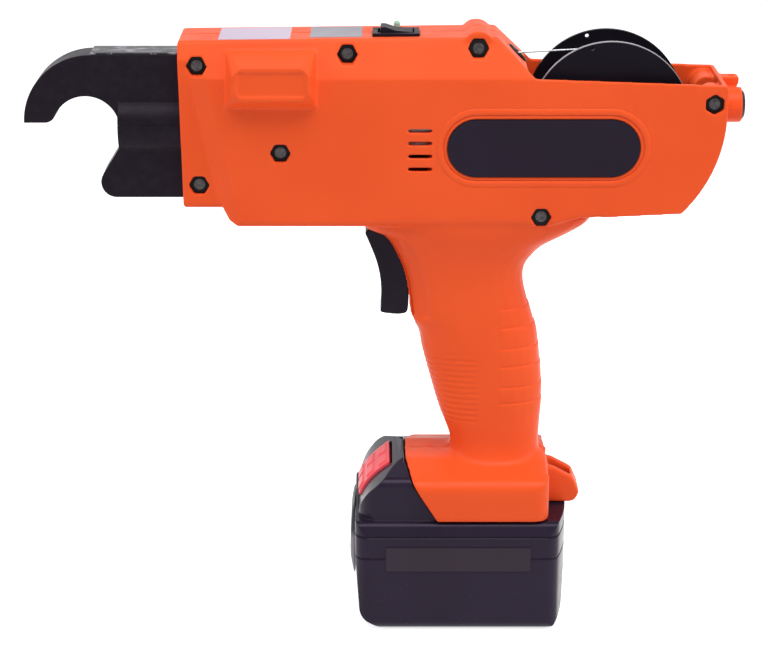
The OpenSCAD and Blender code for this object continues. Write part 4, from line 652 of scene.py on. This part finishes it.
# How far a plate reaches into its seat, and the share of its thickness that its edge is broken by
PLATE_SINK = 0.1
PLATE_EDGE_SHARE = 0.3


def top_at(x):
    """Height of the body's top face."""
    return TOP_Z + (x - TOP_X) * TOP_RISE / TOP_L


def slab(name, corners, thick, material, body):
    """A thin plate on four corners, standing off by thick along its own normal."""
    a, b, c, d = (Vector(v) for v in corners)
    normal = (b - a).cross(d - a).normalized()
    verts = [v - normal * PLATE_SINK for v in (a, b, c, d)] + [v + normal * thick for v in (a, b, c, d)]
    faces = [(0, 3, 2, 1), (4, 5, 6, 7), (0, 1, 5, 4), (1, 2, 6, 5), (2, 3, 7, 6), (3, 0, 4, 7)]
    piece = add_mesh(name, verts, faces, material, body)
    bevel = piece.modifiers.new("edge", "BEVEL")
    bevel.width = PLATE_EDGE_SHARE * thick * MM
    bevel.segments = 2


def top_label(name, x, y, material):
    corners = [(x[i], y[j], top_at(x[i])) for i, j in ((0, 0), (1, 0), (1, 1), (0, 1))]
    slab(name, corners, LABEL_T, material, BODY_OF["left_housing"])


top_label("front_label", (-110.2, -78.2), (-14.2, 13), LAVENDER)
top_label("rear_label", (-69.4, -46.2), (-11.4, 13), SILVER)
strip_corners = [(STRIP_X[i], BATTERY_Y, STRIP_Z[j]) for i, j in ((0, 0), (1, 0), (1, 1), (0, 1))]
slab("battery_plate", strip_corners, STRIP_T, BAR, BODY_OF["battery_lower"])


# Rim round the plate on the near side

PLATE_BOX = [[v / MM for v in corner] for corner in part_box("name_plate")]
FACE_Y = -24
# Distance outside the plate and height above the body's face, from the outer edge to the plate
RIM_SECTION = (
    (5.2, -0.4), (5.0, 0.0), (4.6, 0.16), (4.0, 0.28), (3.3, 0.32), (2.7, 0.26), (2.3, 0.1), (2.1, -0.1),
    (1.95, -0.45), (1.75, -0.45), (1.6, -0.12), (0.9, -0.06), (0.3, -0.1), (0.1, -1.4),
)
RIM_STEPS = 24


def rim():
    """The section swept round the plate's outline."""
    low, high = PLATE_BOX
    radius = (high[2] - low[2]) / 2
    half = (high[0] - low[0]) / 2 - radius
    middle = ((low[0] + high[0]) / 2, (low[2] + high[2]) / 2)
    path = []
    for end in (1, -1):
        for k in range(RIM_STEPS + 1):
            a = math.pi * (k / RIM_STEPS - 0.5) + (0 if end > 0 else math.pi)
            path.append((end * half, math.cos(a), math.sin(a)))
    verts = [(middle[0] + x + (radius + d) * c, FACE_Y - h, middle[1] + (radius + d) * v)
             for x, c, v in path for d, h in RIM_SECTION]
    n, m = len(path), len(RIM_SECTION)
    faces = [(i * m + k, (i + 1) % n * m + k, (i + 1) % n * m + (k + 1) % m, i * m + (k + 1) % m)
             for i in range(n) for k in range(m)]
    piece = add_mesh("plate_rim", verts, faces, ORANGE, BODY_OF["name_plate"])
    shade_smooth(piece.data)


rim()


# Floor and studio light, in metres and watts

FLOOR_HALF = 3.0
FLOOR_COLOUR = (0.9, 0.9, 0.9, 1)
WHITE = (1, 1, 1, 1)
FLOOR_GLOW = 0.72
AMBIENT = 0.27
MIDDLE = (-0.02, 0, 0.15)


def seen(tree):
    """1 where the camera sees the background, straight or in a gloss or a lens."""
    path = tree.nodes.new("ShaderNodeLightPath").outputs
    mirrored = maths(tree, "ADD", path["Is Glossy Ray"], path["Is Transmission Ray"])
    return maths(tree, "ADD", path["Is Camera Ray"], mirrored)


def floor():
    h = FLOOR_HALF
    mesh = bpy.data.meshes.new("floor")
    mesh.from_pydata([(-h, -h, 0), (h, -h, 0), (h, h, 0), (-h, h, 0)], [], [(0, 1, 2, 3)])
    obj = link(bpy.data.objects.new("floor", mesh))
    material, tree, bsdf = shader("floor_paper")
    bsdf.inputs["Base Color"].default_value = FLOOR_COLOUR
    bsdf.inputs["Roughness"].default_value = 0.9
    bsdf.inputs["Specular IOR Level"].default_value = 0.1
    bsdf.inputs["Emission Color"].default_value = WHITE
    tree.links.new(spread(tree, seen(tree), 0, FLOOR_GLOW, 0, 1), bsdf.inputs["Emission Strength"])
    mesh.materials.append(material)


def studio():
    """White to the eye, dimmer as a light."""
    world = bpy.data.worlds.new("studio")
    bpy.context.scene.world = world
    world.use_nodes = True
    tree = world.node_tree
    background = tree.nodes["Background"]
    background.inputs["Color"].default_value = WHITE
    tree.links.new(spread(tree, seen(tree), AMBIENT, 1, 0, 1), background.inputs["Strength"])


def lamp(name, place, size, power):
    """A soft box at place, aimed at the part's middle."""
    data = bpy.data.lights.new(name, "AREA")
    data.shape = "RECTANGLE"
    data.size, data.size_y = size
    data.energy = power
    obj = link(bpy.data.objects.new(name, data))
    obj.location = place
    obj.rotation_euler = (Vector(MIDDLE) - Vector(place)).to_track_quat("-Z", "Y").to_euler()


floor()
studio()
lamp("over", place=(0.1, -0.55, 1.45), size=(1.4, 0.8), power=17)
lamp("right", place=(1.35, -0.3, 0.8), size=(0.7, 1.1), power=9)
lamp("left", place=(-1.35, -0.2, 0.9), size=(0.6, 1.1), power=8)
